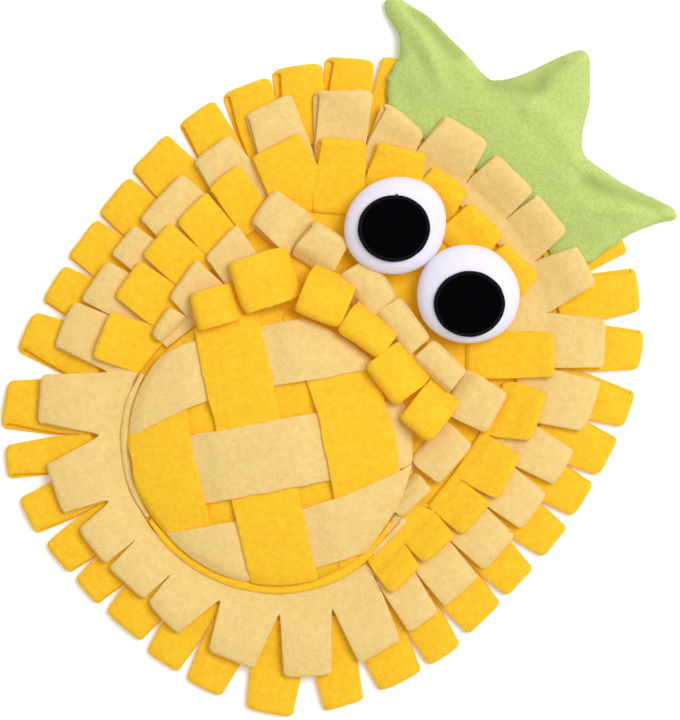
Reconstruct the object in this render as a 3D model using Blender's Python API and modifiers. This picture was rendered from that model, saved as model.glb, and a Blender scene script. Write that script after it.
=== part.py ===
"""Snuffle mat: a fleece feeding mat shaped like a plain pineapple.

The mat lies flat on the XY plane with its back on z = 0 and the crown towards +Y.
Every row of loops is one slit strip: a thin sewn-down header that carries its tabs,
with each inner row shingled over the roots of the row outside it.
Lengths are in millimetres here and become metres when a vertex is made.
Bearings and headings are in degrees, clockwise from the crown.
"""

import math
from collections import namedtuple

import bmesh
import bpy
from mathutils import Vector
from mathutils.geometry import delaunay_2d_cdt

MM = 0.001
CLEAR = 0.3  # the air between two pieces that touch
SAME_PLACE = 0.01

Oval = namedtuple("Oval", "y half_width half_length power")
Lip = namedtuple("Lip", "x y heading width length")
Tab = namedtuple("Tab", "x y heading width thickness")
Band = namedtuple("Band", "across width over")
Eye = namedtuple("Eye", "x y half_width half_length")

# ---- driving sizes ---------------------------------------------------------------
BODY_Y = -29.4  # the mat body's centre, with the origin under the whole outline's centre
BASE_THICKNESS = 3.0
BASE_STEPS = 72
HEADER_THICKNESS = 2.5  # two layers of fleece under the seam
TAB_THICKNESS = 5.0  # a folded loop with its air
SLIT = 0.8  # the narrowest cut between two tabs
FOLD_MARGIN = 0.06  # of a tab's length at each end with no fold
FLOOR_HEADER = BASE_THICKNESS + CLEAR  # where a header's inner edge lies on the base

BASE = Oval(0, 137.5, 164.5, 2.3)
BASE_EDGE = Oval(0, 138.5, 165.5, 2.3)
DROOP_END = Oval(0, 147.0, 174.0, 2.3)  # where the outer loops reach the floor
TIP_1 = Oval(0, 175.5, 200.3, 2.4)
ROOT_1 = Oval(0, 133.0, 160.0, 2.3)
INNER_1 = Oval(0, 126.5, 154.0, 2.3)
TIP_2 = Oval(0, 151.9, 176.7, 2.45)
ROOT_2 = Oval(0, 118.0, 148.5, 2.25)
INNER_2 = Oval(0, 112.8, 144.5, 2.25)
ROOT_3 = Oval(-18.6, 103.0, 151.0, 2.4)
INNER_3 = Oval(-18.6, 98.0, 146.4, 2.4)
ROOT_4 = Oval(-46.5, 94.5, 106.5, 3.0)
INNER_4 = Oval(-58.9, 92.4, 85.6, 2.0)

# Where each loop of the two outer rows starts and ends along its tip line.
OUTER_LOOPS = (
    (33.5, 41.5), (45, 52), (56, 62.5), (64.5, 72), (73.5, 80.5), (82.5, 89.5),
    (92, 99), (100.5, 108.5), (110.5, 117), (118.5, 126.5), (129.5, 136.5), (142, 150.5),
    (155.5, 163), (165, 172.5), (174.5, 184), (186, 193), (194.5, 202), (204.5, 212),
    (216, 222), (225, 233.5), (238.5, 246), (248, 255.5), (257, 265.5), (266.5, 275),
    (276, 285), (287.5, 295), (297.5, 304.5), (307.5, 314.5), (317, 324),
)
CROWN_LOOPS = 8  # outer loops that lie hidden under the crown
CROWN_LOOP_START, CROWN_LOOP_END = 325.5, 392.0
CROWN_LOOP_SHARE = 0.8  # of each pitch, the rest is the notch

SECOND_LOOPS = (
    (10, 20.5), (25, 35), (42, 52), (54.5, 65), (69, 77), (79, 88), (89.5, 99),
    (100.5, 109.5), (111, 118), (120, 129), (134.5, 144), (151, 161), (168, 178.5),
    (179.5, 190.5), (191.5, 201.5), (206, 217), (226, 235), (240.5, 250), (251.5, 260),
    (261.5, 269), (270.5, 283), (286, 295), (299, 307), (314, 324), (328, 339),
    (342.5, 353), (356.5, 368.5),
)

THIRD_LOOPS = (
    Tab(-124, -68, 252, 30, 5), Tab(-134, -31, 265, 27, 5), Tab(-136, -1, 270, 26, 5),
    Tab(-132, 28, 273, 26, 5), Tab(-129, 55, 279, 24, 5), Tab(-117, 93, 293, 29, 5),
    Tab(-87, 120, 325, 28, 5), Tab(-56, 139, 333, 28, 5), Tab(-21, 145, 354, 27, 5),
    Tab(12, 140, 3, 30, 5), Tab(45, 135, 5, 30, 5), Tab(98, 102, 50, 28, 5),
    Tab(116, 67, 69, 32, 5), Tab(126, 26, 77, 31, 5), Tab(127, -6, 91, 27, 5),
    Tab(122, -35, 97, 26, 5), Tab(118, -63, 96, 25, 5),
)

FOURTH_LOOPS = (
    Tab(-102, -38, 262, 21, 7), Tab(-108, -9, 266, 29, 5), Tab(-105, 24, 274, 28, 5),
    Tab(-99, 56, 278, 27, 7), Tab(-56, 71, 352, 27, 9), Tab(-14, 66, 2, 25, 9),
    Tab(18, 65, 16, 29, 12), Tab(49, 61, 6, 27, 12), Tab(95, 52, 82, 29, 6),
    Tab(96, 11, 90, 31, 5), Tab(93, -23, 93, 26, 5), Tab(94.5, -52, 95, 24, 4),
)

LIP_LOOPS = (  # from right to left, each leaning down over the pocket's edge
    Lip(62, 10, 178, 22, 30), Lip(28, 17, 189, 31, 25), Lip(2, 28, 174, 31, 20),
    Lip(-28, 25, 162, 28, 28), Lip(-74, 9, 202, 26, 32),
)
LIP_END = (Lip(-86, -18, 214, 23, 20),)
LIP_THICKNESS, LIP_TIP_THICKNESS = 9.0, 6.3
LIP_BELLY = (0.3, 0.8)  # the thick stretch of a lip loop, as shares of its length
LIP_HEADER_WIDTH = 5.0
LIP_MIDDLE_HEIGHT, LIP_TIP_HEIGHT = 12.4, 11.7
LIP_ROOT_HEIGHT, LIP_END_ROOT_HEIGHT = 9.9, 7.9  # on row 4's header, which falls towards the pocket
LIP_ROOT_SHARE = 0.86  # a lip loop is this much narrower at its seam

# ---- height of each row's underside over the contours that it crosses --------------
OUTER_HEIGHTS = (
    (INNER_1, FLOOR_HEADER), (ROOT_1, FLOOR_HEADER), (BASE_EDGE, FLOOR_HEADER),
    (DROOP_END, 0.0), (TIP_1, 0.0),
)
SECOND_HEIGHTS = (
    (INNER_2, FLOOR_HEADER), (ROOT_2, 6.2), (INNER_1, 6.4), (ROOT_1, 6.8),
    (BASE_EDGE, 8.0), (DROOP_END, 7.8), (TIP_2, 6.6),
)
SECOND_HEIGHTS_AT_CROWN = (
    (INNER_2, FLOOR_HEADER), (ROOT_2, 6.2), (INNER_1, 6.8), (ROOT_1, 10.6),
    (BASE_EDGE, 12.8), (DROOP_END, 13.6), (TIP_2, 14.2),
)
THIRD_HEIGHTS = (
    (INNER_3, FLOOR_HEADER), (ROOT_3, 6.2), (INNER_2, 6.7), (ROOT_2, 9.6),
    (INNER_1, 12.3), (ROOT_1, 12.6), (BASE_EDGE, 13.8),
)
FOURTH_HEIGHTS = (
    (INNER_4, FLOOR_HEADER), (ROOT_4, 6.3), (INNER_3, 6.7),
    (ROOT_3, 9.6), (INNER_2, 12.4), (ROOT_2, 12.6),
)
CROWN_LIFT_START, CROWN_LIFT_END = 128.0, 143.0  # y over which row 2 climbs onto the crown

# ---- pocket -------------------------------------------------------------------------
POCKET_Y = -58.9
POCKET_HALF_WIDTH, POCKET_HALF_LENGTH = 86.8, 78.7
POCKET_EDGE_HEIGHT, POCKET_DOME_HEIGHT = 4.0, 7.5
POCKET_STEPS, POCKET_RINGS = 56, 6
CUTTER_DEPTH = 60.0
STRIP_TRIM = 0.6  # the woven strips stop this far inside the pocket's edge
WEAVE_Y = -62.0
STRIP_REACH = 80.0  # half of a strip's length, before the pocket's edge trims it
STRIP_THICKNESS = 2.2
STRIP_STATION = 11.0  # about how far apart a strip bends
STRIP_COLUMNS = 4
UNDER_HEIGHT, OVER_HEIGHT = 0.4, 3.1  # a strip's underside over the dome
GOLDEN_HEADING, PALE_HEADING = 127.3, 40.0  # the way each set of strips runs
GOLDEN_BANDS = (  # offset across the strip, its width, and which crossings it goes over
    Band(-56.5, 43.0, (False, True, False)),
    Band(3.0, 41.0, (True, False, True)),
    Band(55.5, 39.0, (False, True, False)),
)
PALE_BANDS = (
    Band(-60.0, 38.0, (True, False, True)),
    Band(1.0, 43.0, (False, True, False)),
    Band(55.5, 38.0, (True, False, True)),
)
CROSSING_MARGIN = 1.2  # how far past a crossing's edge the strip stays level

BINDING_HALF_WIDTH, BINDING_HALF_LENGTH = 89.5, 81.4
BINDING_RADIUS = 2.3
BINDING_RISE = 1.2
GOLDEN_BINDING = (78.0, 196.0)  # bearings round the pocket
PALE_BINDING = (200.0, 256.0)
BINDING_STEP = 4.0

# ---- crown --------------------------------------------------------------------------
CROWN_OUTLINE = (  # from the left root over the three points to the right root
    (-80, 153), (-88, 162), (-92, 168), (-94, 180), (-103, 191), (-117, 196), (-123, 202),
    (-121, 208), (-113, 211), (-93, 213), (-62, 210), (-44, 207), (-37, 211), (-28, 224),
    (-19, 244), (-12, 256), (-7.5, 259), (-2, 257), (6, 248), (16, 236), (23, 222), (30, 212),
    (37, 209), (62, 211), (87, 218), (98, 219.5), (103, 215), (97, 206), (88, 190), (83, 172),
    (78, 155),
)
CROWN_FLAP = 0.985  # the flap under row 2 ends at this share of row 1's root line
CROWN_GRID = 7.5
SEAM_BAND = 0.4  # of a grid cell that stays free along the seam
FLAP_STEPS = 8
CROWN_PUFF = 15.0
CROWN_EDGE_SHARE = 0.28  # of the puff, just inside the seam
CROWN_SHOULDER = 30.0  # the stuffing reaches its full depth this far in from the edge
CROWN_FLAP_THICKNESS = 2.6
CROWN_UNDERSIDE = (
    (ROOT_1, 7.0), (BASE_EDGE, 8.2), (DROOP_END, 8.2), (TIP_1, 6.0),
    (Oval(0, 184.0, 209.0, 2.4), 5.8), (Oval(0, 198.0, 223.0, 2.4), 0.0),
)
CROWN_MOST = (  # how thick the crown may be over each contour, because row 2 presses on it
    (ROOT_1, 2.6), (BASE_EDGE, 3.0), (DROOP_END, 4.0), (TIP_2, 4.8),
    (Oval(0, 159.0, 184.0, 2.4), 5.4), (Oval(0, 174.0, 199.0, 2.4), 15.0),
)
CROWN_SEAM = 0.38  # the seam runs at this share of the thickness near the edge

# ---- eyes ---------------------------------------------------------------------------
LEFT_EYE = Eye(-27.3, 100.4, 29.8, 31.9)
RIGHT_EYE = Eye(34.1, 95.5, 31.2, 30.9)
EYE_MIDDLE, EYE_HALF_HEIGHT = 17.0, 13.9
EYE_SEGMENTS, EYE_RINGS = 28, 14
LEFT_PUPIL = Eye(-27.3, 98.6, 21.4, 21.6)
RIGHT_PUPIL = Eye(38.2, 92.4, 21.2, 21.2)
PUPIL_RINGS, PUPIL_SEGMENTS = 4, 28
PUPIL_THICKNESS = 1.8
PUPIL_LIFT = 0.45

GOLDEN = (0.98, 0.62, 0.03, 1)
PALE = (0.92, 0.70, 0.28, 1)
GREEN = (0.50, 0.69, 0.20, 1)
WHITE = (0.85, 0.82, 0.92, 1)
BLACK = (0.005, 0.005, 0.006, 1)


# ---- plan helpers -------------------------------------------------------------------
def oval_point(oval, bearing):
    """The point of an oval at a bearing that is measured on its own squashed circle."""
    s, c = math.sin(math.radians(bearing)), math.cos(math.radians(bearing))
    reach = (abs(s) ** oval.power + abs(c) ** oval.power) ** (-1 / oval.power)
    return Vector((oval.half_width * s * reach, oval.y + oval.half_length * c * reach))


def oval_bearing(oval, point):
    x, y = point.x / oval.half_width, (point.y - oval.y) / oval.half_length
    return math.degrees(math.atan2(x, y)) % 360


def outside(oval, point):
    """About how far a point lies outside an oval."""
    x, y = abs(point.x) / oval.half_width, abs(point.y - oval.y) / oval.half_length
    level = (x**oval.power + y**oval.power) ** (1 / oval.power)
    return (level - 1) * (oval.half_width + oval.half_length) / 2


def height_at(point, heights):
    """The height at a point, between the contours that it lies between."""
    if outside(heights[0][0], point) <= 0:
        return heights[0][1]
    for (oval, low), (next_oval, high) in zip(heights, heights[1:]):
        past, left = outside(oval, point), -outside(next_oval, point)
        if left > 0:
            past = max(past, 0)
            return low + (high - low) * past / (past + left)
    return heights[-1][1]


def second_height(point):
    lift = (point.y - CROWN_LIFT_START) / (CROWN_LIFT_END - CROWN_LIFT_START)
    lift = min(max(lift, 0), 1)
    plain = height_at(point, SECOND_HEIGHTS)
    return plain + lift * (height_at(point, SECOND_HEIGHTS_AT_CROWN) - plain)


def along(heading):
    angle = math.radians(heading)
    return Vector((math.sin(angle), math.cos(angle)))


def across_of(heading):
    forward = along(heading)
    return Vector((forward.y, -forward.x))


def edge_of(x, y, heading, width):
    """The two ends of a line that is square to a heading, the anticlockwise one first."""
    side = across_of(heading) * width / 2
    middle = Vector((x, y))
    return middle - side, middle + side


def crossing(start, end, oval):
    """How far from start to end a line leaves an oval, as a share, or None."""
    if outside(oval, start) > 0 or outside(oval, end) < 0:
        return None
    low, high = 0.0, 1.0
    for _ in range(24):
        middle = (low + high) / 2
        if outside(oval, start.lerp(end, middle)) < 0:
            low = middle
        else:
            high = middle
    return low


# ---- building helpers ---------------------------------------------------------------
def fresh_scene():
    for thing in list(bpy.data.objects):
        bpy.data.objects.remove(thing)
    pieces = bpy.data.collections.new("snuffle_mat")
    cutters = bpy.data.collections.new("cutters")
    for collection in (pieces, cutters):
        bpy.context.scene.collection.children.link(collection)
    return pieces, cutters


def cloth(name, colour, roughness=0.95):
    material = bpy.data.materials.new(name)
    material.use_nodes = True
    shader = material.node_tree.nodes["Principled BSDF"]
    shader.inputs["Base Color"].default_value = colour
    shader.inputs["Roughness"].default_value = roughness
    shader.inputs["Metallic"].default_value = 0.0
    return material


def place(name, data, material, collection):
    thing = bpy.data.objects.new(name, data)
    thing.data.materials.append(material)
    collection.objects.link(thing)
    return thing


def mesh_piece(name, sheet, material, collection, smooth=False):
    bmesh.ops.recalc_face_normals(sheet, faces=sheet.faces)
    mesh = bpy.data.meshes.new(name)
    sheet.to_mesh(mesh)
    sheet.free()
    if smooth:
        mesh.shade_smooth()
    return place(name, mesh, material, collection)


def new_sheet():
    """An empty bottom surface whose vertices remember how thick the piece is there."""
    sheet = bmesh.new()
    return sheet, sheet.verts.layers.float.new("thickness")


def add_point(sheet, layer, point, height, thickness):
    vertex = sheet.verts.new((point.x * MM, (point.y + BODY_Y) * MM, height * MM))
    vertex[layer] = thickness
    return vertex


def thicken(sheet, layer):
    """Extrude the whole bottom surface upwards by each vertex's own thickness."""
    sheet.faces.ensure_lookup_table()
    made = bmesh.ops.extrude_face_region(sheet, geom=sheet.faces[:], use_keep_orig=True)
    for item in made["geom"]:
        if isinstance(item, bmesh.types.BMVert):
            item.co.z += item[layer] * MM


def add_tab(sheet, layer, roots, tips, heights, height_of, thickness):
    """A tab from its two root vertices to its tip, with a fold at each contour it crosses."""
    starts = [Vector((v.co.x / MM, v.co.y / MM - BODY_Y)) for v in roots]
    shares = []
    for oval, _ in heights:
        pair = [crossing(start, tip, oval) for start, tip in zip(starts, tips)]
        if None not in pair and min(pair) > FOLD_MARGIN and max(pair) < 1 - FOLD_MARGIN:
            shares.append(pair)
    last, depth = list(roots), (HEADER_THICKNESS + thickness) / 2
    for pair in sorted(shares) + [(1.0, 1.0)]:
        new = []
        if pair[0] == 1.0:
            depth = thickness
        for start, tip, share in zip(starts, tips, pair):
            point = start.lerp(tip, share)
            new.append(add_point(sheet, layer, point, height_of(point), depth))
        depth = thickness
        sheet.faces.new((last[0], last[1], new[1], new[0]))
        last = new


def root_spans(tabs, root):
    """The bearings between which each tab is sewn down, parted from its neighbours by a slit."""
    spans = []
    for tips, _ in tabs:
        bearing = oval_bearing(root, (tips[0] + tips[1]) / 2)
        pace = (oval_point(root, bearing + 0.5) - oval_point(root, bearing - 0.5)).length
        half = (tips[1] - tips[0]).length / 2 / pace
        spans.append([bearing - half, bearing + half])
    for left, right in zip(spans, spans[1:] + spans[:1]):
        turn = 360 if right[0] < left[0] - 180 else 0
        apart = right[0] + turn - left[1]
        pace = (oval_point(root, left[1] + 0.5) - oval_point(root, left[1] - 0.5)).length
        if apart < SLIT / pace:
            squeeze = (SLIT / pace - apart) / 2
            left[1] -= squeeze
            right[0] += squeeze
    return spans


def row_of_loops(name, tabs, ovals, heights, height_of, material, collection, closed=False):
    """One slit strip. Each tab is (its tip's two corners, its thickness), clockwise."""
    inner, root = ovals
    sheet, layer = new_sheet()
    header = []
    for (start, end), (tips, thickness) in zip(root_spans(tabs, root), tabs):
        quad = []
        for oval in (inner, root):
            for bearing in (start, end):
                point = oval_point(oval, bearing)
                quad.append(add_point(sheet, layer, point, height_of(point), HEADER_THICKNESS))
        sheet.faces.new((quad[0], quad[1], quad[3], quad[2]))
        add_tab(sheet, layer, quad[2:], tips, heights, height_of, thickness)
        header.append(quad)
    links = list(zip(header, header[1:]))
    if closed:
        links.append((header[-1], header[0]))
    for left, right in links:
        sheet.faces.new((left[1], right[0], right[2], left[3]))
    thicken(sheet, layer)
    return mesh_piece(name, sheet, material, collection)


def lip_row(name, loops, root_height, material, collection):
    """Loops that lean inwards over the pocket's edge, on one short header."""
    sheet, layer = new_sheet()
    last = None
    for loop in loops:
        forward = along(loop.heading)
        tip = Vector((loop.x, loop.y))
        root, back = tip - forward * loop.length, tip - forward * (loop.length + LIP_HEADER_WIDTH)
        sections = (
            (back, LIP_ROOT_SHARE, root_height, HEADER_THICKNESS),
            (root, LIP_ROOT_SHARE, root_height, HEADER_THICKNESS),
            (root.lerp(tip, LIP_BELLY[0]), 1.0, LIP_MIDDLE_HEIGHT, LIP_THICKNESS),
            (root.lerp(tip, LIP_BELLY[1]), 1.0, LIP_MIDDLE_HEIGHT, LIP_THICKNESS),
            (tip, 1.0, LIP_TIP_HEIGHT, LIP_TIP_THICKNESS),
        )
        rows = []
        for middle, share, height, thickness in sections:
            ends = edge_of(middle.x, middle.y, loop.heading, loop.width * share)
            rows.append([add_point(sheet, layer, end, height, thickness) for end in ends])
        for near, far in zip(rows, rows[1:]):
            sheet.faces.new((near[0], near[1], far[1], far[0]))
        if last:
            sheet.faces.new((last[0][1], rows[0][0], rows[1][0], last[1][1]))
        last = rows
    thicken(sheet, layer)
    return mesh_piece(name, sheet, material, collection)


# ---- the pieces ---------------------------------------------------------------------
def make_base(golden, pieces):
    curve = bpy.data.curves.new("base", "CURVE")
    curve.dimensions = "2D"
    curve.fill_mode = "BOTH"
    curve.extrude = BASE_THICKNESS / 2 * MM
    spline = curve.splines.new("POLY")
    spline.points.add(BASE_STEPS - 1)
    for i, point in enumerate(spline.points):
        spot = oval_point(BASE, -i * 360 / BASE_STEPS)
        point.co = (spot.x * MM, spot.y * MM, 0, 1)
    spline.use_cyclic_u = True
    base = place("base", curve, golden, pieces)
    base.location = (0, BODY_Y * MM, BASE_THICKNESS / 2 * MM)


def bearing_tabs(loops, oval):
    return [((oval_point(oval, a), oval_point(oval, b)), TAB_THICKNESS) for a, b in loops]


def placed_tabs(loops):
    return [(edge_of(t.x, t.y, t.heading, t.width), t.thickness) for t in loops]


def make_rows(golden, pale, pieces):
    pitch = (CROWN_LOOP_END - CROWN_LOOP_START) / CROWN_LOOPS
    hidden = [
        (CROWN_LOOP_START + i * pitch, CROWN_LOOP_START + (i + CROWN_LOOP_SHARE) * pitch)
        for i in range(CROWN_LOOPS)
    ]
    row_of_loops(
        "row_1", bearing_tabs(OUTER_LOOPS + tuple(hidden), TIP_1), (INNER_1, ROOT_1),
        OUTER_HEIGHTS, lambda p: height_at(p, OUTER_HEIGHTS), golden, pieces, closed=True,
    )
    row_of_loops(
        "row_2", bearing_tabs(SECOND_LOOPS, TIP_2), (INNER_2, ROOT_2),
        SECOND_HEIGHTS, second_height, pale, pieces, closed=True,
    )
    row_of_loops(
        "row_3", placed_tabs(THIRD_LOOPS), (INNER_3, ROOT_3),
        THIRD_HEIGHTS, lambda p: height_at(p, THIRD_HEIGHTS), golden, pieces,
    )
    row_of_loops(
        "row_4", placed_tabs(FOURTH_LOOPS), (INNER_4, ROOT_4),
        FOURTH_HEIGHTS, lambda p: height_at(p, FOURTH_HEIGHTS), pale, pieces,
    )
    lip_row("row_5", LIP_LOOPS, LIP_ROOT_HEIGHT, golden, pieces)
    lip_row("row_5_end", LIP_END, LIP_END_ROOT_HEIGHT, golden, pieces)


def dome_height(x, y):
    """The pocket's padded top over the base, at a point measured from the pocket's middle."""
    share = min((x / POCKET_HALF_WIDTH) ** 2 + (y / POCKET_HALF_LENGTH) ** 2, 1)
    return FLOOR_HEADER + POCKET_EDGE_HEIGHT + POCKET_DOME_HEIGHT * (1 - share)


def make_pocket(golden, pieces):
    """A turned pad, squashed to the pocket's oval."""
    shares = [i / POCKET_RINGS for i in range(POCKET_RINGS, -1, -1)]
    profile = [(0, FLOOR_HEADER), (1, FLOOR_HEADER)]
    profile += [(share, dome_height(share * POCKET_HALF_WIDTH, 0)) for share in shares]
    mesh = bpy.data.meshes.new("pocket")
    points = [(share * POCKET_HALF_WIDTH * MM, 0, z * MM) for share, z in reversed(profile)]
    mesh.from_pydata(points, [(i, i + 1) for i in range(len(points) - 1)], [])
    pocket = place("pocket", mesh, golden, pieces)
    turn = pocket.modifiers.new("turn", "SCREW")
    turn.axis = "Z"
    turn.angle = math.tau
    turn.steps = turn.render_steps = POCKET_STEPS
    turn.use_merge_vertices = True
    turn.merge_threshold = 0.00001
    pocket.location = (0, (BODY_Y + POCKET_Y) * MM, 0)
    pocket.scale = (1, POCKET_HALF_LENGTH / POCKET_HALF_WIDTH, 1)


def crossings_of(band, heading, crossed_bands, crossed_heading):
    """The stretch of a strip that each crossed strip takes up, and whether it lies on top there."""
    forward, side, crossed_side = along(heading), across_of(heading), across_of(crossed_heading)
    square = abs(forward.dot(crossed_side))
    slant = abs(side.dot(crossed_side)) * band.width / 2
    stretches = []
    for crossed, over in zip(crossed_bands, band.over):
        middle = (crossed.across - band.across * side.dot(crossed_side)) / forward.dot(crossed_side)
        half = (crossed.width / 2 + slant) / square + CROSSING_MARGIN
        stretches.append((max(middle - half, -STRIP_REACH), min(middle + half, STRIP_REACH), over))
    return sorted(stretches)


def strip_stations(stretches):
    """Where a strip bends: at both edges of each crossing, and a few places between."""
    bends = [-STRIP_REACH] + [edge for stretch in stretches for edge in stretch[:2]] + [STRIP_REACH]
    stations = []
    for near, far in zip(bends, bends[1:]):
        parts = math.ceil((far - near) / STRIP_STATION)
        stations += [near + (far - near) * i / parts for i in range(parts)]
    return stations + [bends[-1]]


def woven_strip(name, band, heading, stretches, material, pieces, cutter):
    """A strip of the plain weave, laid on the dome and trimmed at the pocket's edge."""
    forward, side = along(heading), across_of(heading)
    sheet, layer = new_sheet()
    rows = []
    for s in strip_stations(stretches):
        lift = (OVER_HEIGHT + UNDER_HEIGHT) / 2
        for start, end, over in stretches:
            if start - SAME_PLACE <= s <= end + SAME_PLACE:
                lift = OVER_HEIGHT if over else UNDER_HEIGHT
        row = []
        for i in range(STRIP_COLUMNS + 1):
            offset = band.across + band.width * (i / STRIP_COLUMNS - 0.5)
            spot = forward * s + side * offset + Vector((0, WEAVE_Y))
            height = dome_height(spot.x, spot.y - POCKET_Y) + lift
            row.append(add_point(sheet, layer, spot, height, STRIP_THICKNESS))
        rows.append(row)
    for near, far in zip(rows, rows[1:]):
        for i in range(STRIP_COLUMNS):
            sheet.faces.new((near[i], near[i + 1], far[i + 1], far[i]))
    thicken(sheet, layer)
    strip = mesh_piece(name, sheet, material, pieces)
    trim = strip.modifiers.new("trim", "BOOLEAN")
    trim.operation = "INTERSECT"
    trim.object = cutter


def make_weave(golden, pale, pieces, cutters):
    sheet = bmesh.new()
    bmesh.ops.create_cone(
        sheet, cap_ends=True, segments=POCKET_STEPS, radius1=1, radius2=1, depth=CUTTER_DEPTH * MM
    )
    for vertex in sheet.verts:
        vertex.co.x *= (POCKET_HALF_WIDTH - STRIP_TRIM) * MM
        vertex.co.y *= (POCKET_HALF_LENGTH - STRIP_TRIM) * MM
        vertex.co.y += (BODY_Y + POCKET_Y) * MM
    cutter = mesh_piece("pocket_outline", sheet, golden, cutters)
    cutter.hide_render = True
    cutter.display_type = "WIRE"
    for number, band in enumerate(GOLDEN_BANDS, 1):
        name = f"golden_strip_{number}"
        stretches = crossings_of(band, GOLDEN_HEADING, PALE_BANDS, PALE_HEADING)
        woven_strip(name, band, GOLDEN_HEADING, stretches, golden, pieces, cutter)
    for number, band in enumerate(PALE_BANDS, 1):
        name = f"pale_strip_{number}"
        stretches = crossings_of(band, PALE_HEADING, GOLDEN_BANDS, GOLDEN_HEADING)
        woven_strip(name, band, PALE_HEADING, stretches, pale, pieces, cutter)


def make_binding(name, bearings, material, pieces):
    """A corded edge round part of the pocket."""
    start, end = bearings
    steps = round((end - start) / BINDING_STEP)
    curve = bpy.data.curves.new(name, "CURVE")
    curve.dimensions = "3D"
    curve.bevel_depth = BINDING_RADIUS * MM
    curve.bevel_resolution = 2
    curve.use_fill_caps = True
    spline = curve.splines.new("POLY")
    spline.points.add(steps)
    for i, point in enumerate(spline.points):
        angle = math.radians(start + (end - start) * i / steps)
        x, y = BINDING_HALF_WIDTH * math.sin(angle), BINDING_HALF_LENGTH * math.cos(angle)
        point.co = (x * MM, y * MM, 0, 1)
    binding = place(name, curve, material, pieces)
    rise = FLOOR_HEADER + BINDING_RADIUS + BINDING_RISE
    binding.location = (0, (BODY_Y + POCKET_Y) * MM, rise * MM)


def make_crown(green, pieces):
    """A lightly stuffed flat form with three points, whose flap lies under row 2."""
    left, right = CROWN_OUTLINE[0], CROWN_OUTLINE[-1]
    flap = Oval(0, ROOT_1.half_width * CROWN_FLAP, ROOT_1.half_length * CROWN_FLAP, ROOT_1.power)
    first = oval_bearing(flap, Vector(right))
    last = oval_bearing(flap, Vector(left)) - 360
    seam = [Vector(p) for p in CROWN_OUTLINE]
    turn = (last - first) / FLAP_STEPS
    seam += [oval_point(flap, first + turn * i) for i in range(1, FLAP_STEPS)]
    grid = []
    for i in grid_range([p.x for p in seam]):
        for j in grid_range([p.y for p in seam]):
            spot = Vector(((i + 0.5 * (j % 2)) * CROWN_GRID, j * CROWN_GRID))
            if inside_outline(spot, seam) and edge_distance(spot, seam) > CROWN_GRID * SEAM_BAND:
                grid.append(spot)
    edges = [(i, (i + 1) % len(seam)) for i in range(len(seam))]
    points, _, faces, *_ = delaunay_2d_cdt(seam + grid, edges, [], 1, 0.001)
    flat = bmesh.new()
    corners = [flat.verts.new((point.x, point.y, 0)) for point in points]
    for face in faces:
        flat.faces.new([corners[i] for i in face])
    bridges = [
        e for e in flat.edges if not e.is_boundary and e.verts[0].is_boundary and e.verts[1].is_boundary
    ]  # an edge from seam to seam would pinch the two skins together
    bmesh.ops.subdivide_edges(flat, edges=bridges, cuts=1)
    bmesh.ops.triangulate(flat, faces=flat.faces)
    sheet = bmesh.new()
    tops, bottoms = {}, {}
    for corner in flat.verts:
        point = corner.co.xy
        under, most = height_at(point, CROWN_UNDERSIDE), height_at(point, CROWN_MOST)
        if corner.is_boundary:
            levels = (under + CROWN_SEAM * min(CROWN_PUFF, most),)
        else:
            inward = min(edge_distance(point, seam[: len(CROWN_OUTLINE)]) / CROWN_SHOULDER, 1)
            rise = math.sqrt(1 - (1 - inward) ** 2)
            puff = CROWN_PUFF * (CROWN_EDGE_SHARE + (1 - CROWN_EDGE_SHARE) * rise)
            levels = (under, under + max(min(puff, most), CROWN_FLAP_THICKNESS))
        made = [sheet.verts.new((point.x * MM, (point.y + BODY_Y) * MM, z * MM)) for z in levels]
        bottoms[corner], tops[corner] = made[0], made[-1]
    for face in flat.faces:
        sheet.faces.new([tops[corner] for corner in face.verts])
        sheet.faces.new([bottoms[corner] for corner in reversed(face.verts)])
    flat.free()
    mesh_piece("crown", sheet, green, pieces, smooth=True)


def grid_range(values):
    return range(math.floor(min(values) / CROWN_GRID), math.ceil(max(values) / CROWN_GRID))


def inside_outline(spot, outline):
    crossings = 0
    for a, b in zip(outline, outline[1:] + outline[:1]):
        if (a.y > spot.y) != (b.y > spot.y):
            crossings += spot.x < a.x + (spot.y - a.y) / (b.y - a.y) * (b.x - a.x)
    return crossings % 2 == 1


def edge_distance(spot, outline):
    nearest = math.inf
    for a, b in zip(outline, outline[1:]):
        share = (spot - a).dot(b - a) / (b - a).length_squared
        nearest = min(nearest, (spot - a.lerp(b, min(max(share, 0), 1))).length)
    return nearest


def eye_top(eye, x, y):
    share = ((x - eye.x) / eye.half_width) ** 2 + ((y - eye.y) / eye.half_length) ** 2
    return EYE_MIDDLE + EYE_HALF_HEIGHT * math.sqrt(max(1 - share, 0))


def make_eye(name, eye, material, pieces):
    """A stuffed disc, flat where it sits on the base."""
    sheet = bmesh.new()
    bmesh.ops.create_uvsphere(
        sheet, u_segments=EYE_SEGMENTS, v_segments=EYE_RINGS, radius=EYE_HALF_HEIGHT * MM
    )
    for vertex in sheet.verts:
        vertex.co.x = vertex.co.x * eye.half_width / EYE_HALF_HEIGHT + eye.x * MM
        vertex.co.y = vertex.co.y * eye.half_length / EYE_HALF_HEIGHT + (eye.y + BODY_Y) * MM
        vertex.co.z = max(vertex.co.z + EYE_MIDDLE * MM, FLOOR_HEADER * MM)
    mesh_piece(name, sheet, material, pieces, smooth=True)


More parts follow.
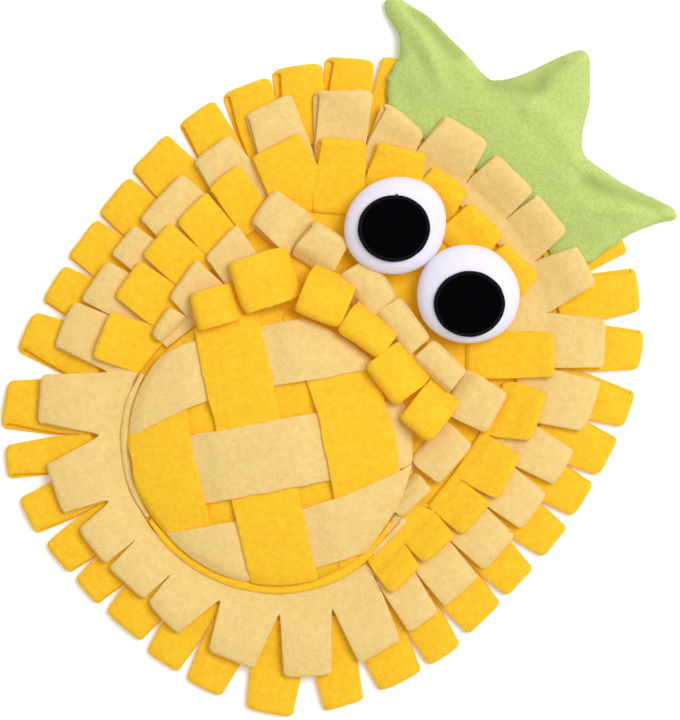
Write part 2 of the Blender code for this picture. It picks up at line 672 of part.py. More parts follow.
def make_pupil(name, pupil, eye, material, pieces):
    """A flat black disc sewn to the top of an eye, bent to its dome."""
    sheet, layer = new_sheet()

    def spot(ring, turn):
        share = ring / PUPIL_RINGS
        angle = math.tau * turn / PUPIL_SEGMENTS
        x = pupil.x + pupil.half_width * share * math.sin(angle)
        y = pupil.y + pupil.half_length * share * math.cos(angle)
        height = eye_top(eye, x, y) + PUPIL_LIFT
        return add_point(sheet, layer, Vector((x, y)), height, PUPIL_THICKNESS)

    middle = spot(0, 0)
    rings = [[spot(ring, turn) for turn in range(PUPIL_SEGMENTS)] for ring in range(1, PUPIL_RINGS + 1)]
    for turn in range(PUPIL_SEGMENTS):
        after = (turn + 1) % PUPIL_SEGMENTS
        sheet.faces.new((middle, rings[0][turn], rings[0][after]))
        for near, far in zip(rings, rings[1:]):
            sheet.faces.new((near[turn], far[turn], far[after], near[after]))
    thicken(sheet, layer)
    mesh_piece(name, sheet, material, pieces, smooth=True)


def main():
    pieces, cutters = fresh_scene()
    golden = cloth("golden fleece", GOLDEN)
    pale = cloth("pale fleece", PALE)
    make_base(golden, pieces)
    make_rows(golden, pale, pieces)
    make_pocket(golden, pieces)
    make_weave(golden, pale, pieces, cutters)
    make_binding("binding_golden", GOLDEN_BINDING, golden, pieces)
    make_binding("binding_pale", PALE_BINDING, pale, pieces)
    make_crown(cloth("green fleece", GREEN), pieces)
    white = cloth("white plush", WHITE)
    black = cloth("black felt", BLACK, 0.8)
    make_eye("eye_left", LEFT_EYE, white, pieces)
    make_eye("eye_right", RIGHT_EYE, white, pieces)
    make_pupil("pupil_left", LEFT_PUPIL, LEFT_EYE, black, pieces)
    make_pupil("pupil_right", RIGHT_PUPIL, RIGHT_EYE, black, pieces)


main()
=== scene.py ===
"""The looks of the snuffle mat: folded fleece loops, woven patch, stuffed eyes, leafy crown.

Plan sizes are in millimetres, measured from the middle of the mat's body with the crown
towards +Y, and become metres of the row frame when a vertex is made. Bearings and headings
are in degrees, clockwise from the crown.
"""

import math
import random
from collections import namedtuple

import bmesh
import bpy
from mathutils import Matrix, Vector, noise
from mathutils.geometry import delaunay_2d_cdt


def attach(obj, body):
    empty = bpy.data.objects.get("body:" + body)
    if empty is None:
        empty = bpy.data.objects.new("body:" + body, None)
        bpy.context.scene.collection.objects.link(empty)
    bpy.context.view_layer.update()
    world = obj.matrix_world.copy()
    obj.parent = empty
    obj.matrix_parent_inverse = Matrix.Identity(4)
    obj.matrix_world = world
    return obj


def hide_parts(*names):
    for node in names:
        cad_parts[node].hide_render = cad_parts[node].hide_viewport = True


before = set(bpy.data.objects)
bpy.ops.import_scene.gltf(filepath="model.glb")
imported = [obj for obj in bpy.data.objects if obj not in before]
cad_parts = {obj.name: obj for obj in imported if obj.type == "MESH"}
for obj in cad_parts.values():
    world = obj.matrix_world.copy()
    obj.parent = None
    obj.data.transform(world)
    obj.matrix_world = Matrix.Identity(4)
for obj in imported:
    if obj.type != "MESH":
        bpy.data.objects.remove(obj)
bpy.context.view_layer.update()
noise.seed_set(5)  # Blender's noise would otherwise start from the clock

MM = 0.001
BODY_Y = -29.4  # the mat body's middle in the row frame

Oval = namedtuple("Oval", "y half_width half_length power")
Fold = namedtuple("Fold", "left right thickness lean")
Tab = namedtuple("Tab", "x y heading width thickness lean length", defaults=(0,))
Lip = namedtuple("Lip", "x y heading width length")
Band = namedtuple("Band", "across width over lead trail", defaults=(0, 0))
Eye = namedtuple("Eye", "x y half_width half_length")
Crease = namedtuple("Crease", "points size reach")  # a soft line, its height and half width
Stitching = namedtuple("Stitching", "pitch length radius across seed")
Style = namedtuple("Style", "puff spread corner pinch")

# ---- fleece and folds -------------------------------------------------------------------
FLEECE = 1.6  # one layer of fleece
HEADER = 2.9  # two layers pressed together under the seam
LOOP = 5.4  # a folded loop with the air inside it
SLIT = 0.3  # the cut between two loops of one strip
SPREAD = {"row_1": 2.5, "row_2": 0.8, "row_3": 1.0}  # how far a side flares towards its seam
PLAIN_SPREAD = 0.5  # and in the other rows
MOST_LINK = 14.0  # two loops' sewn ends are joined when they lie at most so far apart
MOST_ROOT = 6.0  # and its seam reaches at most so far past its own width
UNCUT, UNCUT_OPEN = 2, 4  # how many rows of each layer no cut reaches, and where the seam shows
MOST_WELD = 2.0  # corners of two loops are one only when they lie at most so far apart
FLOOR_HEADER = 3.3
FILL_OUT = 0.3  # share of a loop's length over which it opens from the seam to its full size
ACROSS = (0.0, 0.04, 0.11, 0.22, 0.4, 0.6, 0.78, 0.89, 0.96, 1.0)  # columns across a loop
ALONG = (0.07, 0.18, 0.32, 0.48, 0.64, 0.8, 0.93)  # rows from the seam to the nose
NOSE = (-65, -35, 0, 35, 65)  # degrees round the fold
CORNER = 1.7  # radius of a fold's soft corners, seen from above
MOST_CORNER = 0.35  # and the largest share of a loop's width that they take
CORNER_FROM = 0.6  # they start at this share of a loop's length
MOST_LEAN = 0.3  # the largest share of its width by which an upper layer leans
PUFFS = (0.7, 1.3)  # a loop's puff, from the flattest loop of a row to the fullest
PUFF_FROM, PUFF_OVER = 0.35, 0.4  # where along a loop its puff starts, and over how much it grows
PUFF_SIDES = 0.25  # how much of it is left at the long sides
PUFF_OUT = 0.3  # how much of it makes the fold rounder
BARREL = 2.5  # how flat a loop is across before it rounds down to its sides
TWIST = 1.0  # a loop's upper layer tips to one side by up to half of this
WAVE, BOW = 0.5, 0.7  # unevenness of a loop's top, and of its fold seen from above
SIDE_DIP = 0.7  # an upper layer's long sides lie so much lower than its middle
SIDE_LIFT = 0.4  # and a lower layer's so much higher
LEAST_APART = 0.4  # two layers stay apart by so much of their thickness
DRAPE_STEP = 3.5  # a loop rounds off what it lies on over so far either way
OWN_SEAM_DROP = 3.0  # the sewn end of a loop with its own seam is pulled down so far
OWN_SEAM_MARGIN = 2.5  # and runs on so far behind its seam
OWN_SEAM_SHARE = 1.06  # its seam's length as a share of its width
HEADER_PINCH = 1.4  # its sewn edge is drawn in so many times more than the seam
FLAT_LOOP = 5  # the thickness of a Tab for a loop that is as thick as LOOP
AXIS_STEP, AXIS_STEPS = 1.5, 60  # how a loop's axis is followed back to the seam line
SQUARE_SHARE = 0.7  # 1 would sew each loop square behind its fold, and 0 straight inward

# ---- contours ---------------------------------------------------------------------------
BASE = Oval(0, 137.5, 164.5, 2.3)
BASE_EDGE = Oval(0, 138.5, 165.5, 2.3)
DROOP_END = Oval(0, 147.0, 174.0, 2.3)
TIP_1 = Oval(0, 175.5, 200.3, 2.4)
ROOT_1 = Oval(0, 133.0, 160.0, 2.3)
INNER_1 = Oval(0, 126.5, 154.0, 2.3)
TIP_2 = Oval(0, 151.9, 176.7, 2.45)
ROOT_2 = Oval(0, 118.0, 148.5, 2.25)
INNER_2 = Oval(0, 112.8, 144.5, 2.25)
ROOT_3 = Oval(-18.6, 103.0, 151.0, 2.4)
INNER_3 = Oval(-18.6, 98.0, 146.4, 2.4)
ROOT_4 = Oval(-46.5, 94.5, 106.5, 3.0)
INNER_4 = Oval(-58.9, 92.4, 85.6, 2.0)
EDGE_2 = Oval(-18.6, 104.5, 152.5, 2.4)  # row 2's cloth starts here, outside row 3's seam
RIM = Oval(-58.9, 91.2, 83.0, 2.0)  # where sewn-down cloth meets the pocket's bound edge
SEAM_4 = Oval(-58.9, 92.8, 112.5, 2.1)  # where row 4's loops start to open

# Outer and second row: the bearings of each loop's two corners on the tip line, and how far its
# upper layer leans clockwise past the lower one.
OUTER_LOOPS = (
    (33.5, 41.5, 3), (45, 52, 3), (56, 62.5, 3), (64.5, 72, 2), (73.5, 80.5, 1.5), (82.5, 89.5, 1),
    (92, 99, 1), (100.5, 108.5, 1), (110.5, 117, 1), (118.5, 126.5, 0.5), (129.5, 136.5, 0.5),
    (142, 150.5, 0.5), (155.5, 163, 1), (165, 172.5, 1), (174.5, 184, 1), (186, 193, 1.5),
    (194.5, 202, 1.5), (204.5, 212, 2), (216, 222, 3), (225, 233.5, 4), (238.5, 246, 4),
    (248, 255.5, 1.5), (257, 265.5, 1), (266.5, 275, 1), (276, 285, 1.5), (287.5, 295, 2.5),
    (296.7, 305.6, 4.5), (306.3, 315.4, 5.5), (316.0, 325, 6),
)
# By a loop's number, how far past the tip line its two corners stand.
OUTER_REACH = {
    0: (1, -1.5), 1: (0, -1.5), 2: (-0.5, -1.5), 3: (-2, -3), 4: (-2.5, -2.5), 5: (-1, -1),
    6: (-1.5, -2), 7: (-2, -1), 8: (1, 1), 9: (1, 2), 10: (3.5, 6), 11: (9, 7), 12: (4.5, 3),
    13: (1.5, 1.5), 14: (-1, -2), 15: (-1.5, -2.5), 16: (-2, -1), 17: (0.5, 1), 18: (4, 2.5),
    19: (4, 2.5), 20: (1.5, -0.5), 21: (-2, -2.5), 22: (-2, -2.5), 23: (-1, -0.5), 24: (1, 1),
    26: (0, -3), 27: (0, -3), 28: (0, -2.5),
}
CROWN_LOOPS = 8
CROWN_LOOP_START, CROWN_LOOP_END = 326.5, 392.0
CROWN_LOOP_SHARE = 0.8

SECOND_REACH = {
    26: (-2.9, -4.3), 0: (-4.4, -4.5), 1: (-3.9, -2.4),
    9: (1, 5), 10: (7.5, 7.5), 11: (5.3, 3.7), 12: (5, 0), 15: (3, 3), 16: (5, 6), 17: (3.5, 3.5),
    22: (4.5, 5.8), 23: (3, 1.5), 24: (-3.8, -15),
}
SECOND_OPEN = range(9, 19)  # the loops whose cloth shows right up to the pocket
SECOND_AT_EYE = (1, 2)  # and those whose cloth shows up to the right eye
THIRD_OPEN = (0, 1, 15, 16)  # row 3's loops at its two ends
OPEN_REACH, THIRD_REACH, HIDDEN_REACH = 40, 12, 14  # how far a sewn edge runs further in
FOURTH_START = 1.012  # row 4's cloth starts at this share of the way to the pocket's edge
SECOND_LOOPS = (
    (10, 21.3, 1), (25, 34.5, 1), (42, 52, 1), (54.5, 65, 1), (69, 77, 1), (79, 88, 1),
    (89.5, 99, 1), (100.5, 109.5, 1), (111, 118, 0.5), (120, 129, 0.5), (134.5, 144, 0.5),
    (150.3, 161, 0.5), (168.6, 178.5, 0.5), (179.5, 190.5, 0.5), (191.5, 201.5, 0.5), (206, 217, 0.5),
    (225.5, 235.2, 1), (240.5, 250.2, 1.5), (250.7, 260, 0.5), (261.5, 269, 0.5), (270.5, 283, 0.5),
    (286, 295, 1), (299, 308.7, 2), (313.2, 325.4, 4), (328, 339, 3.5), (341.8, 353.8, 1.5),
    (356.5, 369.1, 1),
)

THIRD_LOOPS = (
    Tab(-124, -68, 252, 30, 5, 0), Tab(-134, -31, 265, 27, 5, 0), Tab(-136, -1, 270, 26, 5, 0),
    Tab(-132, 28, 273, 26, 5, 0), Tab(-129, 55, 279, 24, 5, 1), Tab(-117, 90.2, 293, 34, 5, 1, 44),
    Tab(-87, 120, 325, 30, 5, 2, 44), Tab(-56.2, 139.4, 333, 33, 5, 2, 30),
    Tab(-21, 145, 354, 27, 5, 1, 22), Tab(12, 140, 3, 30, 5, 1, 27), Tab(45, 135, 5, 30, 5, 1, 20),
    Tab(98, 102, 50, 28, 5, 1, 52),
    Tab(116, 67, 69, 32, 5, 1), Tab(126, 26, 77, 31, 5, 1), Tab(127, -6, 91, 27, 5, 1),
    Tab(122, -35, 97, 26, 5, 1), Tab(118, -63, 96, 25, 5, 1),
)

FOURTH_LOOPS = (
    Tab(-102, -38, 262, 21, 7, 0), Tab(-108, -9, 266, 29, 5, 0), Tab(-105, 24, 274, 28, 5, 0),
    Tab(-99, 56, 267, 27, 7, 2, 29), Tab(-56, 73, 352, 27, 9, 2, 24), Tab(-13, 72, 15, 31, 9, 0, 25),
    Tab(18, 65.5, 14, 32, 11, 0, 21), Tab(49, 61.5, 3, 29, 12, 0, 20), Tab(95, 52, 78, 29, 6, 1, 29),
    Tab(96, 11, 91, 32, 5, 0, 22), Tab(93, -23, 95, 26, 5, 0, 13), Tab(94.5, -49, 95, 30, 4, 0),
)

LIP_LOOPS = (
    Lip(62, 10, 178, 24, 30), Lip(28, 17, 193, 31, 28), Lip(2, 28, 174, 32, 22),
    Lip(-27.5, 23.5, 162, 30, 30), Lip(-78, 6.3, 212, 33, 36),
)
LIP_END = (Lip(-88.5, -21.5, 214, 23, 29),)
LIP_THICKNESS = 9.5
LIP_PUFF, LIP_CORNER, LIP_PINCH = 2.2, 2.0, 0.06
LIP_HEADER = 2.5  # how far the cloth runs on behind the seam
LIP_GAPS = (6.0, 6.0)  # the room that a loop's sides may fill
LIP_RISE, LIP_FALL = 0.35, 0.75  # where along a loop it is up on the edge, and sinks again
ROOT_PINCH = 0.05  # share by which a loop with its own seam is drawn in there
LIP_MIDDLE_HEIGHT, LIP_TIP_HEIGHT = 12.4, 11.7
LIP_ROOT_HEIGHT, LIP_END_ROOT_HEIGHT = 9.9, 7.9

OUTER_HEIGHTS = (
    (INNER_1, FLOOR_HEADER), (ROOT_1, FLOOR_HEADER), (BASE_EDGE, FLOOR_HEADER),
    (DROOP_END, 0.0), (TIP_1, 0.0),
)
SECOND_HEIGHTS = (
    (INNER_2, FLOOR_HEADER), (ROOT_2, 6.2), (INNER_1, 6.4), (ROOT_1, 6.8),
    (BASE_EDGE, 8.0), (DROOP_END, 7.8), (TIP_2, 6.6),
)
SECOND_HEIGHTS_AT_CROWN = (
    (INNER_2, FLOOR_HEADER), (ROOT_2, 6.2), (INNER_1, 6.8), (ROOT_1, 10.6),
    (BASE_EDGE, 12.8), (DROOP_END, 13.6), (TIP_2, 14.2),
)
THIRD_HEIGHTS = (
    (INNER_3, FLOOR_HEADER), (ROOT_3, 6.2), (INNER_2, 6.7), (ROOT_2, 9.6),
    (INNER_1, 12.3), (ROOT_1, 12.6), (BASE_EDGE, 13.8),
)
FOURTH_HEIGHTS = (
    (INNER_4, FLOOR_HEADER), (ROOT_4, 6.3), (INNER_3, 6.7),
    (ROOT_3, 9.6), (INNER_2, 12.4), (ROOT_2, 12.6),
)
CROWN_LIFT_START, CROWN_LIFT_END = 128.0, 143.0

# ---- pocket and weave -------------------------------------------------------------------
POCKET_Y = -58.9
POCKET_LOW = Oval(-58.9, 86.8, 78.7, 2.0)
POCKET_HIGH = Oval(-58.9, 86.8, 86.0, 2.2)  # fuller where it runs under the lip
POCKET_SKEW = 0.08  # and fuller still to the right
POCKET_EDGE_HEIGHT, POCKET_DOME_HEIGHT = 4.0, 7.5
POCKET_TURNS, POCKET_RINGS = 72, 12
POCKET_WAVE, POCKET_WAVE_SIZE = 0.3, 20
POCKET_MIDDLE = Vector((0, POCKET_Y))
BODY_MIDDLE = Vector((0, 0))
WEAVE_Y = -62.0
STRIP_THICKNESS = 2.1
UNDER_HEIGHT, OVER_HEIGHT = 0.5, 3.2
STRIP_SHARE = 1.004  # strips end at this share of the way to the pocket's edge
TUCK, TUCK_DEPTH = 9.0, 2.6  # a strip's end dips into the rim seam
STRIP_SLOPE = 7.0  # half of the stretch over which a strip climbs from under to over
GOLDEN_HEADING, PALE_HEADING = 127.3, 40.0
GOLDEN_BANDS = (
    Band(-61.0, 43.0, (False, True, False), 9, 9),
    Band(3.0, 41.0, (True, False, True)),
    Band(59.5, 39.0, (False, True, False), -8, -8),
)
PALE_BANDS = (
    Band(-60.0, 38.0, (True, False, True), 20, 0),
    Band(1.0, 43.0, (False, True, False)),
    Band(55.5, 38.0, (True, False, True), 0, -14),
)
STRIP_REACH = 85.0  # where a strip stands aside by its lead, at its start, or its trail
STRIP_COLUMNS = (0.0, 0.02, 0.08, 0.22, 0.38, 0.5, 0.62, 0.78, 0.92, 0.98, 1.0)
STRIP_STEPS = 48
HALVINGS = 24  # how often the search for a strip's end halves its range
STRIP_WANDER, STRIP_WAVE, STRIP_CROWN = 1.1, 0.3, 0.8  # uneven sides and top, fuller middle
STRIP_WANDER_SIZE, STRIP_WAVE_SIZE = 13, 12
BINDING_HALF_WIDTH, BINDING_HALF_LENGTH = 89.5, 81.4
BINDING_REACH, BINDING_RISE = 2.9, 1.7  # half of its width and of its height
BINDING_HEIGHT = 6.9
BINDING_STEP = 1.5  # degrees
BINDING_TAPER = 9  # steps over which each end thins out
BINDING_SIDES = 12
BINDING_UNEVEN, BINDING_WAVE_SIZE = 0.16, 9
BINDING_END = 0.45  # how thick it is at the very ends
GOLDEN_BINDING = (78.0, 198.0)
PALE_BINDING = (199.0, 262.0)

# ---- crown ------------------------------------------------------------------------------
CROWN_OUTLINE = (
    (-80, 153), (-88, 162), (-92, 168), (-94, 180), (-103, 191), (-117, 196), (-123, 202),
    (-121, 208), (-113, 211), (-93, 213), (-62, 210), (-44, 207), (-37, 211), (-28, 224),
    (-19, 244), (-12, 256), (-7.5, 259), (-2, 257), (6, 248), (16, 236), (23, 222), (30, 212),
    (37, 209), (62, 211), (87, 218), (98, 219.5), (103, 215), (97, 206), (88, 190), (83, 172),
    (78, 155),
)
CROWN_CURVE = 3  # short runs between each two points of the outline
CROWN_FLAP = 0.985
FLAP_STEPS = 24
CROWN_GRID = 3.2
CROWN_CLEAR = 0.45  # no grid point is nearer to the seam than this share of the grid
CROWN_PUFF = 13.5
CROWN_EDGE_SHARE = 0.28
CROWN_SHOULDER = 30.0
RELIEF_FROM, RELIEF_OVER = 5.5, 4  # thinner cloth is pressed flat, and shows no relief
RELIEF_RISE = 3  # it is full at a third of the shoulder
SLACK, SLOW_SLACK = 0.5, 0.9
SLACK_SIZE, SLOW_SLACK_SIZE = 13, 42
CROWN_FLAP_THICKNESS = 2.6
CROWN_UNDERSIDE = (
    (ROOT_1, 7.0), (BASE_EDGE, 8.2), (DROOP_END, 8.2), (TIP_1, 6.0),
    (Oval(0, 184.0, 209.0, 2.4), 5.8), (Oval(0, 198.0, 223.0, 2.4), 0.0),
)
CROWN_MOST = (
    (ROOT_1, 2.6), (BASE_EDGE, 3.0), (DROOP_END, 4.0), (TIP_2, 4.8),
    (Oval(0, 159.0, 184.0, 2.4), 6.4), (Oval(0, 174.0, 199.0, 2.4), 9.4),
    (Oval(0, 192.0, 217.0, 2.4), 14.0),
)
CROWN_SEAM = 0.38
CROWN_RIDGES = (
    Crease(((-118, 204), (-110, 205), (-94, 201), (-76, 192), (-59, 183)), 3.0, 4.0),
    Crease(((-7, 256), (-8, 240), (-10, 222), (-12, 206)), 2.4, 3.5),
    Crease(((100, 215), (83, 204), (66, 189), (49, 180)), 3.0, 4.5),
)
CROWN_HOLLOWS = (
    Crease(((-104, 207), (-86, 208), (-68, 205)), 3.5, 5.5),
    Crease(((-106, 196), (-88, 190), (-74, 184), (-62, 178)), 1.3, 3.0),
    Crease(((-40, 206), (-28, 211), (-14, 221)), 4.0, 6.5),
    Crease(((-18, 228), (-13, 243)), 2.5, 5.0),
    Crease(((46, 197), (67, 205), (90, 212)), 4.0, 5.5),
    Crease(((-84, 172), (-63, 167)), 1.2, 7.0),
    Crease(((45, 160), (68, 172)), 1.2, 7.0),
)
CROWN_HOLLOW_SHADE = 0.72  # how much painted shade darkens the nap's colour in a hollow
FULL_HOLLOW = 3.5  # a hollow this deep gets the full painted shade
# the painted shade is taken off the crown's ridges by this share
RIDGE_LIGHT = 0.7
SIM_FRAMES, SIM_QUALITY = 20, 6
CROWN_GIVE, CROWN_PRESSURE = 1.6, 2.0
CROWN_HELD = 14.0  # the crown moves freely from so far outside row 2, which lies on it

# ---- eyes -------------------------------------------------------------------------------
LEFT_EYE = Eye(-28.1, 99.7, 29.8, 31.9)
RIGHT_EYE = Eye(33.4, 95.9, 31.2, 30.9)
EYE_SKIRT = Oval(95.5, 58.0, 26.0, 2.0)
EYE_MIDDLE, EYE_HALF_HEIGHT = 17.0, 13.9
EYE_UNEVEN, EYE_WAVE_SIZE = 0.03, 22
EYE_RADIUS, PUPIL_RADIUS = 30, 20  # about, for their unevenness
EYE_TURNS, EYE_LEVELS = 48, 24
LONG_WAY = 50.0  # the heading in which the eyes and pupils are longest
EYE_LONGER, EYE_NARROWER = 0.03, 0.02
PUPIL_LONGER, PUPIL_NARROWER = 0.032, 0.048
LEFT_PUPIL = Eye(-27.2, 97.2, 21.4, 21.6)
RIGHT_PUPIL = Eye(37.6, 91.5, 21.2, 21.2)
PUPIL_THICKNESS = 1.2
PUPIL_LIFT = 0.5
PUPIL_UNEVEN, PUPIL_WAVE_SIZE = 0.013, 7
PUPIL_RINGS, PUPIL_TURNS = 8, 72
RIM_STITCH = 2.7  # width of the band of satin stitches along a pupil's rim
RIM_LIFT = 0.3
TAIL_ROOT = Vector((-12.1, 16.3))  # of the thread's end, from the left pupil's middle
TAIL_LENGTH, TAIL_STEPS, TAIL_LIFT = 1.0, 6, 0.6
TAIL_HEADING, TAIL_TURN = -30, 9

# ---- finishes: what the cloth sends back in even light --------------------------------------
GOLDEN = (0.775, 0.50, 0.027)
PALE = (0.715, 0.545, 0.225)
GREEN = (0.495, 0.59, 0.2)
WHITE = (0.76, 0.73, 0.84)
BLACK = (0.0015, 0.0015, 0.0025)
BLACK_YARN = (0.0045, 0.0045, 0.0065)
GOLDEN_YARN = (0.80, 0.42, 0.02)
# The same between the curls of the nap: a random mottle, darkest where the nap's bump is lowest, so
# partly painted shade in its dips.
GOLDEN_DEEP, PALE_DEEP = (0.69, 0.40, 0.015), (0.645, 0.455, 0.165)
GREEN_DEEP = (0.385, 0.485, 0.13)


# ==== plan helpers =======================================================================
def oval_point(oval, bearing):
    """The point of an oval at a bearing that is measured on its own squashed circle."""
    s, c = math.sin(math.radians(bearing)), math.cos(math.radians(bearing))
    reach = (abs(s) ** oval.power + abs(c) ** oval.power) ** (-1 / oval.power)
    return Vector((oval.half_width * s * reach, oval.y + oval.half_length * c * reach))


def oval_bearing(oval, point):
    x, y = point.x / oval.half_width, (point.y - oval.y) / oval.half_length
    return math.degrees(math.atan2(x, y)) % 360


def outside(oval, point):
    """About how far a point lies outside an oval."""
    x, y = abs(point.x) / oval.half_width, abs(point.y - oval.y) / oval.half_length
    level = (x**oval.power + y**oval.power) ** (1 / oval.power)
    return (level - 1) * (oval.half_width + oval.half_length) / 2


def height_at(point, heights):
    """The height at a point, between the contours that it lies between."""
    if outside(heights[0][0], point) <= 0:
        return heights[0][1]
    for (oval, low), (next_oval, high) in zip(heights, heights[1:]):
        past, left = outside(oval, point), -outside(next_oval, point)
        if left > 0:
            past = max(past, 0)
            return low + (high - low) * past / (past + left)
    return heights[-1][1]


def second_height(point):
    lift = (point.y - CROWN_LIFT_START) / (CROWN_LIFT_END - CROWN_LIFT_START)
    lift = min(max(lift, 0), 1)
    plain = height_at(point, SECOND_HEIGHTS)
    return plain + lift * (height_at(point, SECOND_HEIGHTS_AT_CROWN) - plain)


def along(heading):
    angle = math.radians(heading)
    return Vector((math.sin(angle), math.cos(angle)))


def pocket_share(point):
    """0 in the pocket's middle and 1 at its edge."""
    oval = POCKET_HIGH if point.y > POCKET_Y else POCKET_LOW
    x, y = abs(point.x) / oval.half_width, abs(point.y - oval.y) / oval.half_length
    if point.y > POCKET_Y:
        y /= 1 + POCKET_SKEW * point.x / oval.half_width
    return (x**oval.power + y**oval.power) ** (1 / oval.power)


def across_of(heading):
    forward = along(heading)
    return Vector((forward.y, -forward.x))


def place(point, height):
    """A plan point and a height, both in millimetres, as a place in the row frame."""
    return Vector((point.x * MM, (point.y + BODY_Y) * MM, height * MM))


def plan_point(spot):
    """The plan point of a place in the row frame."""
    return Vector((spot.x / MM, spot.y / MM - BODY_Y))


def ease(share):
    """A smooth climb from 0 to 1."""
    share = min(max(share, 0), 1)
    return share * share * (3 - 2 * share)


# ==== materials ==========================================================================
def darker(colour, share):
    return tuple(c * share for c in colour)


# A Mix node's sockets share their names, so they are called by number.
NUMBER_A, NUMBER_B, COLOUR_A, COLOUR_B = 2, 3, 6, 7
NUMBER_MIXED, COLOUR_MIXED = 0, 2


def set_inputs(node, values):
    for socket, value in values.items():
        node.inputs[socket].default_value = value


def add_node(tree, kind, values=None, **settings):
    """A node of a tree, with its settings and then the values of its free inputs."""
    node = tree.nodes.new(kind)
    for name, value in settings.items():
        setattr(node, name, value)
    set_inputs(node, values or {})
    return node


def link_all(tree, *links):
    """Each link is a node and its output, then a node and its input."""
    for start, output, end, socket in links:
        tree.links.new(start.outputs[output], end.inputs[socket])


def nap_group():
    """Brushed fleece: fine curls and soft clumps."""
    tree = bpy.data.node_groups.new("brushed nap", "ShaderNodeTree")
    for name, default in (("Curl Size", 0.9), ("Clump Size", 4.5), ("Clump Share", 0.4)):
        socket = tree.interface.new_socket(name, in_out="INPUT", socket_type="NodeSocketFloat")
        socket.default_value = default
    for name in ("Height", "Shade"):
        tree.interface.new_socket(name, in_out="OUTPUT", socket_type="NodeSocketFloat")
    inputs, outputs = add_node(tree, "NodeGroupInput"), add_node(tree, "NodeGroupOutput")
    coords = add_node(tree, "ShaderNodeTexCoord")
    mixed = add_node(tree, "ShaderNodeMix")
    shade = add_node(tree, "ShaderNodeMapRange", {"From Min": 0.38, "From Max": 0.62})
    patterns = (("Curl Size", 3.0, 0.6, NUMBER_A), ("Clump Size", 2.0, 0.5, NUMBER_B))
    for size, detail, roughness, socket in patterns:
        per_metre = add_node(tree, "ShaderNodeMath", {0: 1 / MM}, operation="DIVIDE")
        texture = add_node(tree, "ShaderNodeTexNoise", {"Detail": detail, "Roughness": roughness})
        link_all(
            tree, (inputs, size, per_metre, 1), (coords, "Object", texture, "Vector"),
            (per_metre, 0, texture, "Scale"), (texture, "Fac", mixed, socket),
        )
    # Shade follows Height, so the deep colour falls in the nap's dips: random mottle and painted shade
    # at once.
    link_all(
        tree, (inputs, "Clump Share", mixed, "Factor"), (mixed, NUMBER_MIXED, shade, "Value"),
        (mixed, NUMBER_MIXED, outputs, "Height"), (shade, 0, outputs, "Shade"),
    )
    return tree


def new_material(name, values):
    """A material, and its shader with its own values."""
    material = bpy.data.materials.new(name)
    material.use_nodes = True
    shader = material.node_tree.nodes["Principled BSDF"]
    set_inputs(shader, values)
    return material, shader


def colour_mix(tree, colours):
    """A node that mixes two colours. It takes those that are known by their sockets."""
    values = {socket: (*colour, 1) for socket, colour in colours.items()}
    return add_node(tree, "ShaderNodeMix", values, data_type="RGBA")


def fleece_material(
    name, colour, deep, curl=0.9, clump=4.0, bump=0.8, sheen=0.3, glow=0.25, shine=0.2, painted_glow=0.0
):
    """Fleece of one dye. deep is its colour between the curls, partly painted shade; the last argument
    is a painted glow that lifts its shadows.
    """
    material, shader = new_material(name, {
        "Roughness": 0.95, "Specular IOR Level": shine,
        "Sheen Weight": sheen, "Sheen Roughness": 0.45,
        "Sheen Tint": (*[min(c * 1.1 + 0.05, 1) for c in colour], 1),
        "Subsurface Weight": glow, "Subsurface Radius": (1.0, 0.7, 0.4),
        "Subsurface Scale": 2.5 * MM,
        # painted glow: the cloth emits its own colour, squared, as if lit in its shadows
        "Emission Color": (*[c * c for c in colour], 1), "Emission Strength": painted_glow,
    })
    tree = material.node_tree
    sizes = {"Curl Size": curl, "Clump Size": clump}
    pile = add_node(tree, "ShaderNodeGroup", sizes, node_tree=NAP)
    dye = colour_mix(tree, {COLOUR_A: deep, COLOUR_B: colour})
    # painted shade: where a piece carries a hollow mask, its colour is darkened there towards a darker
    # deep colour
    hollow_shade = colour_mix(tree, {COLOUR_B: darker(deep, 0.75)})
    hollow = add_node(tree, "ShaderNodeAttribute", attribute_name="hollow")
    relief = add_node(tree, "ShaderNodeBump", {"Strength": bump, "Distance": 0.8 * MM})
    link_all(
        tree, (pile, "Shade", dye, "Factor"), (hollow, "Fac", hollow_shade, "Factor"),
        (dye, COLOUR_MIXED, hollow_shade, COLOUR_A), (hollow_shade, COLOUR_MIXED, shader, "Base Color"),
        (pile, "Height", relief, "Height"), (relief, "Normal", shader, "Normal"),
    )
    return material


def thread_material(name, colour, rough=0.45, sheen=0.2, shine=0.25):
    """Sewing thread, mottled by its plies."""
    values = {"Roughness": rough, "Sheen Weight": sheen, "Specular IOR Level": shine}
    material, shader = new_material(name, values)
    tree = material.node_tree
    coords = add_node(tree, "ShaderNodeTexCoord")
    ply = add_node(tree, "ShaderNodeTexNoise", {"Scale": 2500.0})
    dye = colour_mix(tree, {COLOUR_A: darker(colour, 0.6), COLOUR_B: colour})
    link_all(
        tree, (coords, "Object", ply, "Vector"), (ply, "Fac", dye, "Factor"),
        (dye, COLOUR_MIXED, shader, "Base Color"),
    )
    return material


NAP = nap_group()
